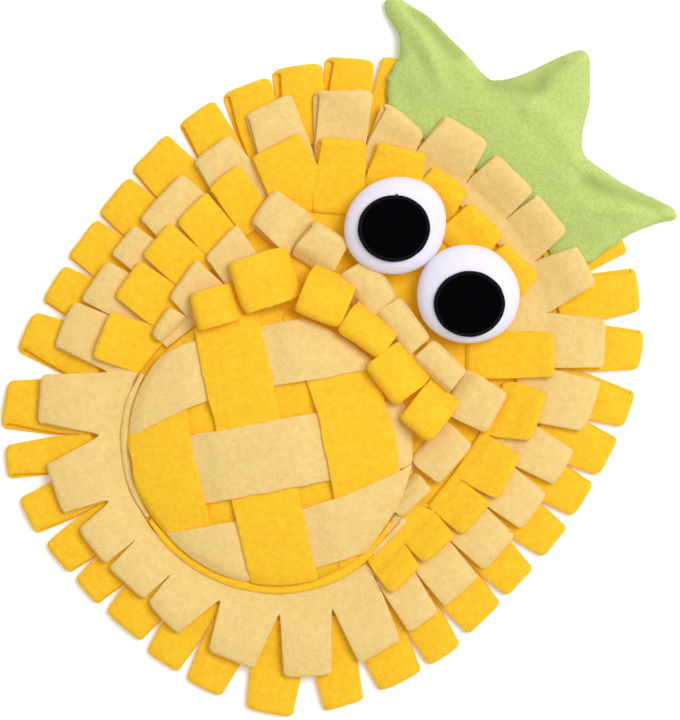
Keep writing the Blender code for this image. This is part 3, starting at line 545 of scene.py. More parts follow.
# The golden, pale and green fleeces get a painted glow, which lifts their shaded folds to a warm colour
GOLDEN_CLOTH = fleece_material("golden fleece", GOLDEN, GOLDEN_DEEP, painted_glow=0.22)
PALE_CLOTH = fleece_material("pale fleece", PALE, PALE_DEEP, painted_glow=0.17)
GREEN_CLOTH = fleece_material("green fleece", GREEN, GREEN_DEEP, clump=2.6, bump=1.0, painted_glow=0.06)
WHITE_CLOTH = fleece_material("white plush", WHITE, darker(WHITE, 0.95), curl=0.8, bump=0.25)
BLACK_CLOTH = fleece_material(
    "black felt", BLACK, darker(BLACK, 0.4), curl=0.7, bump=0.4, sheen=0.0, glow=0.0, shine=0.02
)
# Each finish with the record's material slot that it stands for.
GOLDEN_FLEECE = (GOLDEN_CLOTH, "golden_fleece")
PALE_FLEECE = (PALE_CLOTH, "pale_fleece")
GROUND_FLEECE = (GOLDEN_CLOTH, "ground_fleece")
BLACK_FELT = (BLACK_CLOTH, "black_velvet")
BLACK_THREAD = (thread_material("black thread", BLACK_YARN, 0.5, 0.0, 0.1), "black_velvet")
GOLDEN_THREAD = (thread_material("golden thread", GOLDEN_YARN), "golden_fleece")


# ==== mesh helpers =======================================================================
def piece_from(name, sheet, material):
    mesh = bpy.data.meshes.new(name)
    sheet.to_mesh(mesh)
    sheet.free()
    mesh.shade_smooth()
    mesh.materials.append(material)
    piece = bpy.data.objects.new(name, mesh)
    bpy.context.scene.collection.objects.link(piece)
    return piece


def soften(piece):
    soft = piece.modifiers.new("soft", "SUBSURF")
    soft.levels = soft.render_levels = 1


def made_plain(piece):
    """Replaces a piece's mesh by what its modifiers make of it."""
    plain = bpy.data.meshes.new_from_object(piece.evaluated_get(bpy.context.evaluated_depsgraph_get()))
    old = piece.data
    piece.modifiers.clear()
    piece.data = plain
    plain.name = piece.name
    bpy.data.meshes.remove(old)


def finish_piece(piece, node):
    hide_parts(node)
    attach(piece, "root")


def cloth_piece(name, sheet, thickness, cloth, node):
    """A middle surface as a finished piece of cloth, with rounded cut edges."""
    material, slot = cloth
    piece = piece_from(name, sheet, material)
    wall = piece.modifiers.new("cloth", "SOLIDIFY")
    wall.thickness = thickness * MM
    wall.offset = 0
    soften(piece)
    made_plain(piece)
    finish_piece(piece, node)
    return piece


def soft_piece(name, sheet, material):
    """A closed shape as a soft piece."""
    bmesh.ops.recalc_face_normals(sheet, faces=sheet.faces)
    piece = piece_from(name, sheet, material)
    soften(piece)
    made_plain(piece)
    return piece


def skin_rows(sheet, rows):
    """Faces between open rows of points."""
    for near, far in zip(rows, rows[1:]):
        for i in range(len(near) - 1):
            sheet.faces.new((near[i], near[i + 1], far[i + 1], far[i]))


def skin_rings(sheet, rings, middle=None):
    """Faces between closed rings of points, and from a middle point to the first of them."""
    count = len(rings[0])
    for i in range(count):
        after = (i + 1) % count
        if middle is not None:
            sheet.faces.new((middle, rings[0][i], rings[0][after]))
        for near, far in zip(rings, rings[1:]):
            sheet.faces.new((near[i], far[i], far[after], near[after]))


def cloth_size(sheet):
    """The area of a middle surface, in square metres."""
    return sum(face.calc_area() for face in sheet.faces)


# ==== folded loops =======================================================================
SEED_STEP = 7.3  # how far two seeds lie apart in the noise


def ruffle(point, seed, size=14.0):
    """Three slow random numbers from -1 to 1 at a plan point, in waves of about size."""
    return noise.noise_vector(Vector((point.x / size, point.y / size, seed * SEED_STEP)))


def swell(gap, share, most):
    """How far a loop's side fills the gap beside it: up to a slit, then straight to its fold."""
    return min(max(gap - SLIT, 0) * share / 2, most * (1 - share))


def fleece_loop(sheet, header, root, fold, gaps, height_of, rng, style):
    """One strip folded back on itself. Its rows run out below, round the fold and back above."""
    forward = ((fold.left + fold.right) / 2 - (root[0] + root[1]) / 2).normalized()
    side = (fold.right - fold.left).normalized()
    width = (fold.right - fold.left).length
    lean = side * min(fold.lean, width * MOST_LEAN)
    seed = rng.uniform(0, 100)
    twist = rng.uniform(-TWIST, TWIST)
    plump = style.puff * rng.uniform(*PUFFS)
    half = (fold.thickness - FLEECE) / 2 + plump * PUFF_OUT
    back = forward * (FLEECE / 2 + half)
    corner = min(style.corner, width * MOST_CORNER)

    def underside(point):
        step = forward * DRAPE_STEP
        return (height_of(point - step) + 2 * height_of(point) + height_of(point + step)) / 4

    def trim(share, a):
        """How far the soft corners draw a column back."""
        inward = min(a, 1 - a) * width
        if inward >= corner:
            return 0.0
        full = corner - math.sqrt(corner**2 - (corner - inward) ** 2)
        return full * ease((share - CORNER_FROM) / (1 - CORNER_FROM))

    def spot(share, a, layer):
        """The middle surface at a share of the way out, a place across and a layer 0 to 1."""
        left = root[0].lerp(fold.left + lean * layer - back, share)
        right = root[1].lerp(fold.right - lean * (1 - layer) - back, share)
        left = left - side * swell(gaps[0], share, style.spread)
        right = right + side * swell(gaps[1], share, style.spread)
        narrow = style.pinch * max(1 - share / FILL_OUT, 0) ** 2
        return left.lerp(right, a + (0.5 - a) * narrow) - forward * trim(share, a)

    def rise(share, a, layer):
        """The same with its height, where layer is 0 or 1."""
        point = spot(share, a, layer)
        middle = 1 - abs(2 * a - 1) ** BARREL
        opened = HEADER + (fold.thickness - HEADER) * ease(share / FILL_OUT)
        low = underside(point) + FLEECE / 2
        if layer == 0:
            return point, low + SIDE_LIFT * (1 - middle) * share
        crowned = plump * ease((share - PUFF_FROM) / PUFF_OVER)
        crowned *= PUFF_SIDES + (1 - PUFF_SIDES) * middle
        crowned -= SIDE_DIP * (1 - middle) ** 2 * share
        high = low + opened - FLEECE + crowned + WAVE * ruffle(point, seed).z * share
        high += twist * (a - 0.5) * share
        return point, max(high, low + FLEECE * LEAST_APART)

    def layer_rows(layer):
        """A layer from its sewn-down edge to the fold."""
        lift = FLEECE / 2 + (HEADER - FLEECE) * layer - (OWN_SEAM_DROP if style.pinch else 0)
        narrow = style.pinch * HEADER_PINCH
        edge = [header[0].lerp(header[1], a + (0.5 - a) * narrow) for a in ACROSS]
        rows = [[(point, underside(point) + lift) for point in edge]]
        for share in (0.0, *ALONG, 1.0):
            rows.append([rise(share, a, layer) for a in ACROSS])
        return rows

    def nose_row(angle):
        """A row at an angle round the fold."""
        turn = math.radians(angle)
        level = (1 + math.sin(turn)) / 2
        row = []
        for a in ACROSS:
            low_point, low = rise(1.0, a, 0)
            high = rise(1.0, a, 1)[1]
            bow = BOW * ruffle(low_point, seed + 3).x
            reach = min(half, (high - low) / 2) * math.cos(turn)
            point = spot(1.0, a, level) + forward * (reach + bow)
            row.append((point, low + (high - low) * level))
        return row

    rows = layer_rows(0) + [nose_row(angle) for angle in NOSE] + layer_rows(1)[::-1]
    rows = [[sheet.verts.new(place(*point)) for point in row] for row in rows]
    skin_rows(sheet, rows)
    return rows


def link_headers(sheet, left, right):
    """Joins two neighbours' sewn-down ends, so that only a slit parts their loops."""
    for near, far in ((0, 1), (-1, -2)):
        sheet.faces.new((left[near][-1], right[near][0], right[far][0], left[far][-1]))


def left_uncut(left, right, rows):
    """Which corners of two neighbours are one, near the seam, where only a slit would part them."""
    welds = {}
    for row in range(-rows, rows):
        near, far = left[row][-1], right[row][0]
        if (near.co - far.co).length < MOST_WELD * MM:
            near.co = (near.co + far.co) / 2
            welds[far] = near
    return welds


def behind(fold, root):
    """The bearing at which a loop's axis, run back square from its fold, meets the seam line."""
    middle, side = (fold.left + fold.right) / 2, (fold.right - fold.left).normalized()
    inward = Vector((side.y, -side.x))
    radial = oval_bearing(root, middle)
    if outside(root, middle) <= 0:
        return radial
    met = AXIS_STEPS / 2
    for step in range(1, AXIS_STEPS):
        if outside(root, middle + inward * step * AXIS_STEP) <= 0:
            met = step - 0.5
            break
    square = oval_bearing(root, middle + inward * met * AXIS_STEP)
    turn = (square - radial + 180) % 360 - 180
    return (radial + SQUARE_SHARE * turn) % 360


def root_spans(folds, root, closed):
    """The bearings between which each loop is sewn down, parted from its neighbours by a slit."""
    spans, paces = [], []
    for fold in folds:
        bearing = behind(fold, root)
        pace = (oval_point(root, bearing + 0.5) - oval_point(root, bearing - 0.5)).length
        half = (fold.right - fold.left).length / 2 / pace
        spans.append([bearing - half, bearing + half])
        paces.append(pace)
    count = len(spans)
    for i in range(count if closed else count - 1):
        left, right = spans[i], spans[(i + 1) % count]
        turn = 360 if right[0] < left[0] - 180 else (-360 if right[0] > left[0] + 180 else 0)
        pace = paces[i]
        apart = right[0] + turn - left[1]
        meet = min((apart - SLIT / pace) / 2, MOST_ROOT / pace)
        left[1] += meet
        right[0] -= meet
    return spans


def own_seam(tab):
    """The seam of a loop that is sewn down its own length behind its fold."""
    middle = Vector((tab.x, tab.y)) - along(tab.heading) * tab.length
    half = across_of(tab.heading) * tab.width * OWN_SEAM_SHARE / 2
    return [middle - half, middle + half]


def tip_gaps(folds, closed):
    """How far apart each loop's fold stands from its neighbours' folds, on either side."""
    count = len(folds)
    gaps = []
    for i, fold in enumerate(folds):
        before, after = folds[i - 1], folds[(i + 1) % count]
        left = (fold.left - before.right).length if closed or i > 0 else SLIT
        right = (after.left - fold.right).length if closed or i < count - 1 else SLIT
        gaps.append((left, right))
    return gaps


def drawn_in(point, oval, aim, reach):
    """A header's inner edge: from the oval's own line up to reach further towards aim."""
    toward = (aim - point).normalized()
    best = point
    for step in range(1, round(reach) + 1):
        if outside(oval, point + toward * step) < 0:
            break
        best = point + toward * step
    return best


def join_loops(sheet, loops, closed, open_loops):
    """Joins neighbours along their seam, where their strip isn't cut."""
    pairs = list(zip(loops, loops[1:]))
    if closed:
        pairs.append((loops[-1], loops[0]))
    welds = {}
    for number, (left, right) in enumerate(pairs):
        if (left[1][-1].co - right[1][0].co).length < MOST_LINK * MM:
            link_headers(sheet, left, right)
            welds.update(left_uncut(left, right, UNCUT_OPEN if number in open_loops else UNCUT))
    bmesh.ops.weld_verts(sheet, targetmap=welds)


def folded_piece(name, sheet, cloth):
    """A row of loops as a finished piece: one folded strip of cloth."""
    area = cloth_size(sheet)
    piece = cloth_piece(name + "_fleece", sheet, FLEECE, cloth, name)


def loop_row(
    name, folds, inner, root, height_of, cloth, puff, closed=False, edge_of=None, tabs=(),
    open_loops=(),
):
    """A row of loops with their sewn-down ends linked. edge_of moves a header's inner edge."""
    rng = random.Random(name)
    sheet = bmesh.new()
    loops = []
    spans, gaps = root_spans(folds, root, closed), tip_gaps(folds, closed)
    style = Style(puff, SPREAD.get(name, PLAIN_SPREAD), CORNER, 0.0)
    for number, (span, fold) in enumerate(zip(spans, folds)):
        seam = [oval_point(root, bearing) for bearing in span]
        header = [oval_point(inner, oval_bearing(inner, point)) for point in seam]
        if edge_of:
            header = [edge_of(number, point) for point in header]
        own = style
        if tabs and tabs[number].length:
            seam = own_seam(tabs[number])
            header = [point - along(tabs[number].heading) * OWN_SEAM_MARGIN for point in seam]
            own = style._replace(pinch=ROOT_PINCH)
        loops.append(fleece_loop(sheet, header, seam, fold, gaps[number], height_of, rng, own))
    join_loops(sheet, loops, closed, open_loops)
    folded_piece(name, sheet, cloth)


def bearing_folds(loops, oval, reach):
    """Folds on a tip line, by their corners' bearings and how far they reach past it."""
    folds = []
    for number, (start, end, lean) in enumerate(loops):
        corners = [oval_point(oval, start), oval_point(oval, end)]
        for i, past in enumerate(reach.get(number, (0, 0))):
            corners[i] += corners[i].normalized() * past
        folds.append(Fold(*corners, LOOP, lean))
    return folds


def placed_folds(tabs):
    """Folds that stand where their tabs say."""
    folds = []
    for tab in tabs:
        half = across_of(tab.heading) * tab.width / 2
        middle = Vector((tab.x, tab.y))
        folds.append(Fold(middle - half, middle + half, tab.thickness + LOOP - FLAT_LOOP, tab.lean))
    return folds


def second_edge(number, point):
    """Row 2's cloth runs on to the pocket, or to an eye, where no other row starts before it."""
    if number in SECOND_OPEN:
        return drawn_in(point, RIM, POCKET_MIDDLE, OPEN_REACH)
    if number in SECOND_AT_EYE:
        return drawn_in(point, EYE_SKIRT, Vector((RIGHT_EYE.x, RIGHT_EYE.y)), OPEN_REACH)
    return drawn_in(point, EDGE_2, BODY_MIDDLE, HIDDEN_REACH)


def third_edge(number, point):
    """Row 3's cloth runs on to the pocket at both of its ends."""
    return drawn_in(point, RIM, POCKET_MIDDLE, THIRD_REACH if number in THIRD_OPEN else 0)


def fourth_edge(_, point):
    """Row 4's cloth starts at the pocket's edge."""
    return POCKET_MIDDLE + (point - POCKET_MIDDLE) * FOURTH_START / pocket_share(point)


def make_rows():
    """The four rows of loops round the patch. The outer one runs on under the crown."""
    pitch = (CROWN_LOOP_END - CROWN_LOOP_START) / CROWN_LOOPS
    hidden = tuple(
        (CROWN_LOOP_START + i * pitch, CROWN_LOOP_START + (i + CROWN_LOOP_SHARE) * pitch, 0.0)
        for i in range(CROWN_LOOPS)
    )
    loop_row(
        "row_1", bearing_folds(OUTER_LOOPS + hidden, TIP_1, OUTER_REACH), INNER_1, ROOT_1,
        lambda p: height_at(p, OUTER_HEIGHTS), GOLDEN_FLEECE, 1.8, closed=True,
    )
    loop_row(
        "row_2", bearing_folds(SECOND_LOOPS, TIP_2, SECOND_REACH), INNER_2, ROOT_2,
        second_height, PALE_FLEECE, 1.6, closed=True, edge_of=second_edge,
        open_loops=SECOND_OPEN,
    )
    loop_row(
        "row_3", placed_folds(THIRD_LOOPS), INNER_3, ROOT_3,
        lambda p: height_at(p, THIRD_HEIGHTS), GOLDEN_FLEECE, 1.8,
        edge_of=third_edge, tabs=THIRD_LOOPS,
    )
    loop_row(
        "row_4", placed_folds(FOURTH_LOOPS), INNER_4, SEAM_4,
        lambda p: height_at(p, FOURTH_HEIGHTS), PALE_FLEECE, 1.8,
        edge_of=fourth_edge, tabs=FOURTH_LOOPS,
    )


def lip_row(name, loops, root_height):
    """Plump loops that lean over the pocket's edge."""
    rng = random.Random(name)
    sheet = bmesh.new()
    style = Style(LIP_PUFF, PLAIN_SPREAD, LIP_CORNER, LIP_PINCH)
    made = []
    for loop in loops:
        forward, side = along(loop.heading), across_of(loop.heading) * loop.width / 2
        tip = Vector((loop.x, loop.y))
        seam = tip - forward * loop.length
        back = seam - forward * LIP_HEADER

        def height_of(point, seam=seam, forward=forward, length=loop.length):
            share = (point - seam).dot(forward) / length
            low = root_height + (LIP_MIDDLE_HEIGHT - root_height) * ease(share / LIP_RISE)
            sunk = ease((share - LIP_FALL) / (1 - LIP_FALL))
            return low + (LIP_TIP_HEIGHT - LIP_MIDDLE_HEIGHT) * sunk

        fold = Fold(tip - side, tip + side, LIP_THICKNESS, 0)
        header, root = (back - side, back + side), (seam - side, seam + side)
        made.append(fleece_loop(sheet, header, root, fold, LIP_GAPS, height_of, rng, style))
    for left, right in zip(made, made[1:]):
        link_headers(sheet, left, right)
    folded_piece(name, sheet, GOLDEN_FLEECE)


# ==== pocket and weave ===================================================================
def dome_height(point):
    """The padded top at a plan point."""
    share = min(pocket_share(point), 1)
    return FLOOR_HEADER + POCKET_EDGE_HEIGHT + POCKET_DOME_HEIGHT * (1 - share * share)


def make_pocket():
    """The padded oval that carries the woven strips."""
    sheet = bmesh.new()
    rings = []
    for step in range(1, POCKET_RINGS + 1):
        ring = []
        for turn in range(POCKET_TURNS):
            point = POCKET_MIDDLE + along(360 * turn / POCKET_TURNS)
            reach = step / POCKET_RINGS / pocket_share(point)
            point = POCKET_MIDDLE + (point - POCKET_MIDDLE) * reach
            height = dome_height(point) + POCKET_WAVE * ruffle(point, 5, POCKET_WAVE_SIZE).z
            ring.append(sheet.verts.new(place(point, height)))
        rings.append(ring)
    rings.append([sheet.verts.new((*vertex.co.xy, FLOOR_HEADER * MM)) for vertex in rings[-1]])
    skin_rings(sheet, rings, sheet.verts.new(place(POCKET_MIDDLE, dome_height(POCKET_MIDDLE))))
    sheet.faces.new(rings[-1])
    bmesh.ops.recalc_face_normals(sheet, faces=sheet.faces)
    piece = piece_from("pocket_pad", sheet, GOLDEN_CLOTH)
    finish_piece(piece, "pocket")


def aside(band, s):
    """How far a strip stands to the side of a straight line, at s along it."""
    return (band.lead if s < 0 else band.trail) * (s / STRIP_REACH) ** 2


def crossings_of(band, heading, crossed_bands, crossed_heading):
    """The middle and half length of each crossing along a strip, and whether it goes over."""
    forward, side, crossed_side = along(heading), across_of(heading), across_of(crossed_heading)
    places = []
    for crossed, over in zip(crossed_bands, band.over):
        beside = crossed.across + aside(crossed, band.across * side.dot(along(crossed_heading)))
        middle = (beside - band.across * side.dot(crossed_side)) / forward.dot(crossed_side)
        places.append((middle, crossed.width / 2, over))
    return sorted(places)


def strip_lift(s, places):
    """How high over the dome a strip runs: level across each crossing, sloped between."""
    levels = [OVER_HEIGHT if over else UNDER_HEIGHT for _, _, over in places]
    if s <= places[0][0]:
        return levels[0]
    for (left, half, _), (right, other, _), low, high in zip(places, places[1:], levels, levels[1:]):
        if s <= right:
            middle = (left + half + right - other) / 2
            return low + (high - low) * ease((s - middle) / (2 * STRIP_SLOPE) + 0.5)
    return levels[-1]


def strip_end(band, origin, way, heading):
    """How far along a strip from a point inside the pocket its edge is met."""
    near, far = 0.0, 2 * POCKET_LOW.half_width
    for _ in range(HALVINGS):
        middle = (near + far) / 2
        spot = origin + along(heading) * way * middle + across_of(heading) * aside(band, way * middle)
        if pocket_share(spot) < STRIP_SHARE:
            near = middle
        else:
            far = middle
    return near


def strip_column(sheet, a, band, heading, places):
    """A line of points from end to end of a strip, at a place across it."""
    forward, side = along(heading), across_of(heading)
    origin = side * (band.across + band.width * (a - 0.5)) + Vector((0, WEAVE_Y))
    start, end = -strip_end(band, origin, -1, heading), strip_end(band, origin, 1, heading)
    column = []
    for i in range(STRIP_STEPS + 1):
        s = start + (end - start) * i / STRIP_STEPS
        point = origin + forward * s
        wander = STRIP_WANDER * ruffle(point, band.across + a, STRIP_WANDER_SIZE).x
        point += side * (2 * a - 1) * wander
        point += side * aside(band, s)
        height = dome_height(point) + strip_lift(s, places)
        height += STRIP_THICKNESS / 2
        height += STRIP_WAVE * ruffle(point, band.across + 2, STRIP_WAVE_SIZE).z
        height += STRIP_CROWN * (1 - abs(2 * a - 1) ** 3)
        height -= TUCK_DEPTH * (1 - ease(min(s - start, end - s) / TUCK))
        column.append(sheet.verts.new(place(point, height)))
    return column


def woven_strip(name, band, heading, crossed_bands, crossed_heading, cloth):
    """One strip of the patch, over and under the strips that it crosses."""
    places = crossings_of(band, heading, crossed_bands, crossed_heading)
    sheet = bmesh.new()
    skin_rows(sheet, [strip_column(sheet, a, band, heading, places) for a in STRIP_COLUMNS])
    area = cloth_size(sheet)
    piece = cloth_piece(name + "_fleece", sheet, STRIP_THICKNESS, cloth, name)


def make_weave():
    golden = (GOLDEN_BANDS, GOLDEN_HEADING, "golden_strip", GOLDEN_FLEECE)
    pale = (PALE_BANDS, PALE_HEADING, "pale_strip", PALE_FLEECE)
    for (bands, heading, name, cloth), crossed in ((golden, pale), (pale, golden)):
        for number, band in enumerate(bands, 1):
            woven_strip(f"{name}_{number}", band, heading, crossed[0], crossed[1], cloth)


def make_binding(name, bearings, cloth):
    """A rolled fleece edge round part of the pocket."""
    material, slot = cloth
    start, end = bearings
    steps = round((end - start) / BINDING_STEP)
    sheet = bmesh.new()
    rings = []
    for i in range(steps + 1):
        outward = along(start + (end - start) * i / steps)
        middle = Vector((outward.x * BINDING_HALF_WIDTH, outward.y * BINDING_HALF_LENGTH + POCKET_Y))
        full = 1 + BINDING_UNEVEN * ruffle(middle, 11, BINDING_WAVE_SIZE).z
        full *= BINDING_END + (1 - BINDING_END) * ease(min(i, steps - i) / BINDING_TAPER)
        ring = []
        for j in range(BINDING_SIDES):
            turn = math.tau * j / BINDING_SIDES
            point = middle + outward * (BINDING_REACH * full * math.cos(turn))
            height = BINDING_HEIGHT + BINDING_RISE * full * math.sin(turn)
            ring.append(sheet.verts.new(place(point, height)))
        rings.append(ring)
    skin_rings(sheet, rings)
    for ring in (rings[0], rings[-1]):
        sheet.faces.new(ring)
    finish_piece(soft_piece(name + "_roll", sheet, material), name)


# ==== stuffed cloth ======================================================================
def plump(piece, give, pressure, free_at):
    """Blows a closed cloth up for a moment and keeps a little of what that does to it."""
    scene = bpy.context.scene
    start = [vertex.co.copy() for vertex in piece.data.vertices]
    cloth = piece.modifiers.new("stuffing", "CLOTH")
    cloth.settings.use_pressure = True
    cloth.settings.uniform_pressure_force = pressure
    cloth.settings.effector_weights.gravity = 0
    cloth.settings.quality = SIM_QUALITY
    cloth.collision_settings.use_collision = False
    for number in range(1, SIM_FRAMES + 1):
        scene.frame_set(number)
    made_plain(piece)
    for vertex, first in zip(piece.data.vertices, start):
        moved = vertex.co - first
        share = min(give * MM / max(moved.length, 1e-9), 1)
        vertex.co = first + moved * share * free_at(plan_point(first))
        vertex.co.z = max(vertex.co.z, 0)
    scene.frame_set(1)


# ==== crown ==============================================================================
def inside_outline(spot, outline):
    """Whether a line from the point crosses a closed outline an odd number of times."""
    crossings = 0
    for a, b in zip(outline, outline[1:] + outline[:1]):
        if (a.y > spot.y) != (b.y > spot.y):
            crossings += spot.x < a.x + (spot.y - a.y) / (b.y - a.y) * (b.x - a.x)
    return crossings % 2 == 1


def rounded(points, cuts):
    """A smooth curve that meets each of the points, as cuts short runs between each two."""
    ends = [points[0]] + points + [points[-1]]
    curve = []
    for a, b, c, d in zip(ends, ends[1:], ends[2:], ends[3:]):
        for i in range(cuts):
            t = i / cuts
            curve.append(
                0.5 * (2 * b + (c - a) * t + (2 * a - 5 * b + 4 * c - d) * t**2
                       + (3 * b - a - 3 * c + d) * t**3)
            )
    return curve + [points[-1]]


def grid_range(values):
    return range(math.floor(min(values) / CROWN_GRID), math.ceil(max(values) / CROWN_GRID))


def to_line(point, line):
    """A point's distance to a line of points."""
    nearest = math.inf
    for a, b in zip(line, line[1:]):
        share = (point - a).dot(b - a) / (b - a).length_squared
        nearest = min(nearest, (point - a.lerp(b, min(max(share, 0), 1))).length)
    return nearest


def nearness(point, crease):
    """1 on a crease's line, falling to 0 to either side."""
    distance = to_line(point, [Vector(spot) for spot in crease.points])
    return math.exp(-((distance / crease.reach) ** 2))


def crown_relief(point):
    """Soft ridges out to the points, hollows between them and slack cloth all over."""
    level = SLACK * ruffle(point, 21, SLACK_SIZE).z + SLOW_SLACK * ruffle(point, 23, SLOW_SLACK_SIZE).z
    level += sum(ridge.size * nearness(point, ridge) for ridge in CROWN_RIDGES)
    return level - sum(hollow.size * nearness(point, hollow) for hollow in CROWN_HOLLOWS)


def paint_hollow_shade(piece):
    """A mask of painted shade for the shader: dark in the crown's hollows, lifted on its ridges."""
    mask = piece.data.attributes.new("hollow", "FLOAT", "POINT")
    for vertex, value in zip(piece.data.vertices, mask.data):
        point = plan_point(vertex.co)
        dip = sum(min(h.size / FULL_HOLLOW, 1) * nearness(point, h) for h in CROWN_HOLLOWS)
        crest = sum(nearness(point, ridge) for ridge in CROWN_RIDGES)
        value.value = CROWN_HOLLOW_SHADE * min(max(dip - RIDGE_LIGHT * crest, 0), 1)


def crown_seam(outline):
    """The outline, closed along the flap that lies under row 2."""
    flap = Oval(0, ROOT_1.half_width * CROWN_FLAP, ROOT_1.half_length * CROWN_FLAP, ROOT_1.power)
    first = oval_bearing(flap, outline[-1])
    turn = oval_bearing(flap, outline[0]) - 360 - first
    return outline + [oval_point(flap, first + turn * i / FLAP_STEPS) for i in range(1, FLAP_STEPS)]


def flat_crown(seam):
    """The crown's pattern, cut into small triangles."""
    grid = []
    for i in grid_range([p.x for p in seam]):
        for j in grid_range([p.y for p in seam]):
            spot = Vector(((i + 0.5 * (j % 2)) * CROWN_GRID, j * CROWN_GRID))
            if inside_outline(spot, seam) and to_line(spot, seam) > CROWN_GRID * CROWN_CLEAR:
                grid.append(spot)
    edges = [(i, (i + 1) % len(seam)) for i in range(len(seam))]
    points, _, faces, *_ = delaunay_2d_cdt(seam + grid, edges, [], 1, 0.001)
    flat = bmesh.new()
    corners = [flat.verts.new((point.x, point.y, 0)) for point in points]
    for face in faces:
        flat.faces.new([corners[i] for i in face])
    bridges = [
        e for e in flat.edges if not e.is_boundary and e.verts[0].is_boundary and e.verts[1].is_boundary
    ]
    bmesh.ops.subdivide_edges(flat, edges=bridges, cuts=1)
    bmesh.ops.triangulate(flat, faces=flat.faces)
    return flat


def crown_levels(corner, outline):
    """The heights of the crown's cloth at a corner of its pattern. Its two sides meet at the seam."""
    point = corner.co.xy
    under, most = height_at(point, CROWN_UNDERSIDE), height_at(point, CROWN_MOST)
    if corner.is_boundary:
        return (under + CROWN_SEAM * min(CROWN_PUFF, most),)
    inward = min(to_line(point, outline) / CROWN_SHOULDER, 1)
    rise = math.sqrt(1 - (1 - inward) ** 2)
    puff = CROWN_PUFF * (CROWN_EDGE_SHARE + (1 - CROWN_EDGE_SHARE) * rise)
    free = min(max((most - RELIEF_FROM) / RELIEF_OVER, 0), 1)
    height = min(puff, most) + crown_relief(point) * free * min(inward * RELIEF_RISE, 1)
    return under, under + max(height, CROWN_FLAP_THICKNESS)


def make_crown():
    """Two sides of cloth over the crown's pattern, seamed at its edge and lightly stuffed."""
    outline = rounded([Vector(p) for p in CROWN_OUTLINE], CROWN_CURVE)
    flat = flat_crown(crown_seam(outline))
    sheet = bmesh.new()
    tops, bottoms = {}, {}
    for corner in flat.verts:
        made = [sheet.verts.new(place(corner.co, z)) for z in crown_levels(corner, outline)]
        bottoms[corner], tops[corner] = made[0], made[-1]
    for face in flat.faces:
        sheet.faces.new([tops[corner] for corner in face.verts])
        sheet.faces.new([bottoms[corner] for corner in reversed(face.verts)])
    flat.free()
    piece = soft_piece("crown_plush", sheet, GREEN_CLOTH)
    plump(piece, CROWN_GIVE, CROWN_PRESSURE, lambda spot: ease(outside(TIP_2, spot) / CROWN_HELD))
    paint_hollow_shade(piece)
    finish_piece(piece, "crown")


# ==== eyes ===============================================================================
def stretched(offset, longer, narrower):
    """An offset from an eye's middle, drawn out along its long way and in across it."""
    way, side = along(LONG_WAY), across_of(LONG_WAY)
    return way * offset.dot(way) * (1 + longer) + side * offset.dot(side) * (1 - narrower)


def eye_top(eye, point):
    """The height of an eye's dome at a plan point."""
    offset = Vector((point.x - eye.x, point.y - eye.y))
    offset = stretched(offset, -EYE_LONGER, -EYE_NARROWER)
    share = (offset.x / eye.half_width) ** 2 + (offset.y / eye.half_length) ** 2
    return EYE_MIDDLE + EYE_HALF_HEIGHT * math.sqrt(max(1 - share, 0))


def make_eye(name, eye):
    """A stuffed disc: a squashed ball with its underside cut flat."""
    sheet = bmesh.new()
    bmesh.ops.create_uvsphere(sheet, u_segments=EYE_TURNS, v_segments=EYE_LEVELS, radius=1)
    for vertex in sheet.verts:
        stuffed = 1 + EYE_UNEVEN * ruffle(vertex.co.xy * EYE_RADIUS, eye.x, EYE_WAVE_SIZE).x
        offset = Vector((vertex.co.x * eye.half_width, vertex.co.y * eye.half_length)) * stuffed
        offset = stretched(offset, EYE_LONGER, EYE_NARROWER)
        z = max(vertex.co.z * EYE_HALF_HEIGHT + EYE_MIDDLE, FLOOR_HEADER)
        vertex.co = place(Vector((eye.x, eye.y)) + offset, z)
    piece = soft_piece(name + "_plush", sheet, WHITE_CLOTH)
    finish_piece(piece, name)


def pupil_point(pupil, turn, share):
    """A point at a share of the way out to a pupil's slightly uneven edge."""
    angle = math.tau * turn / PUPIL_TURNS
    way = Vector((math.sin(angle), math.cos(angle)))
    share *= 1 + PUPIL_UNEVEN * ruffle(way * PUPIL_RADIUS, pupil.x, PUPIL_WAVE_SIZE).x
    offset = Vector((way.x * pupil.half_width, way.y * pupil.half_length)) * share
    return Vector((pupil.x, pupil.y)) + stretched(offset, PUPIL_LONGER, PUPIL_NARROWER)


def make_pupil(name, pupil, eye):
    """A felt disc sewn on top of an eye and bent to its dome."""
    sheet = bmesh.new()

    def vertex(share, turn):
        point = pupil_point(pupil, turn, share)
        height = eye_top(eye, point) + PUPIL_LIFT + PUPIL_THICKNESS / 2
        return sheet.verts.new(place(point, height))

    middle = vertex(0, 0)
    rings = [
        [vertex(ring / PUPIL_RINGS, turn) for turn in range(PUPIL_TURNS)]
        for ring in range(1, PUPIL_RINGS + 1)
    ]
    skin_rings(sheet, rings, middle)
    cloth_piece(name + "_felt", sheet, PUPIL_THICKNESS, BLACK_FELT, name)
    stitched(name + "_rim", rim_path(pupil, eye), SATIN, BLACK_THREAD)


def thread_tail():
    """The end of the sewing thread that stands off the left pupil's rim."""
    path = []
    for step in range(TAIL_STEPS + 1):
        way = along(TAIL_HEADING + TAIL_TURN * step)
        point = Vector((LEFT_PUPIL.x, LEFT_PUPIL.y)) + TAIL_ROOT + way * step * TAIL_LENGTH / TAIL_STEPS
        path.append(place(point, eye_top(LEFT_EYE, point) + PUPIL_THICKNESS + TAIL_LIFT))
    stitched("pupil_left_thread_end", path, TAIL, BLACK_THREAD, closed=False)


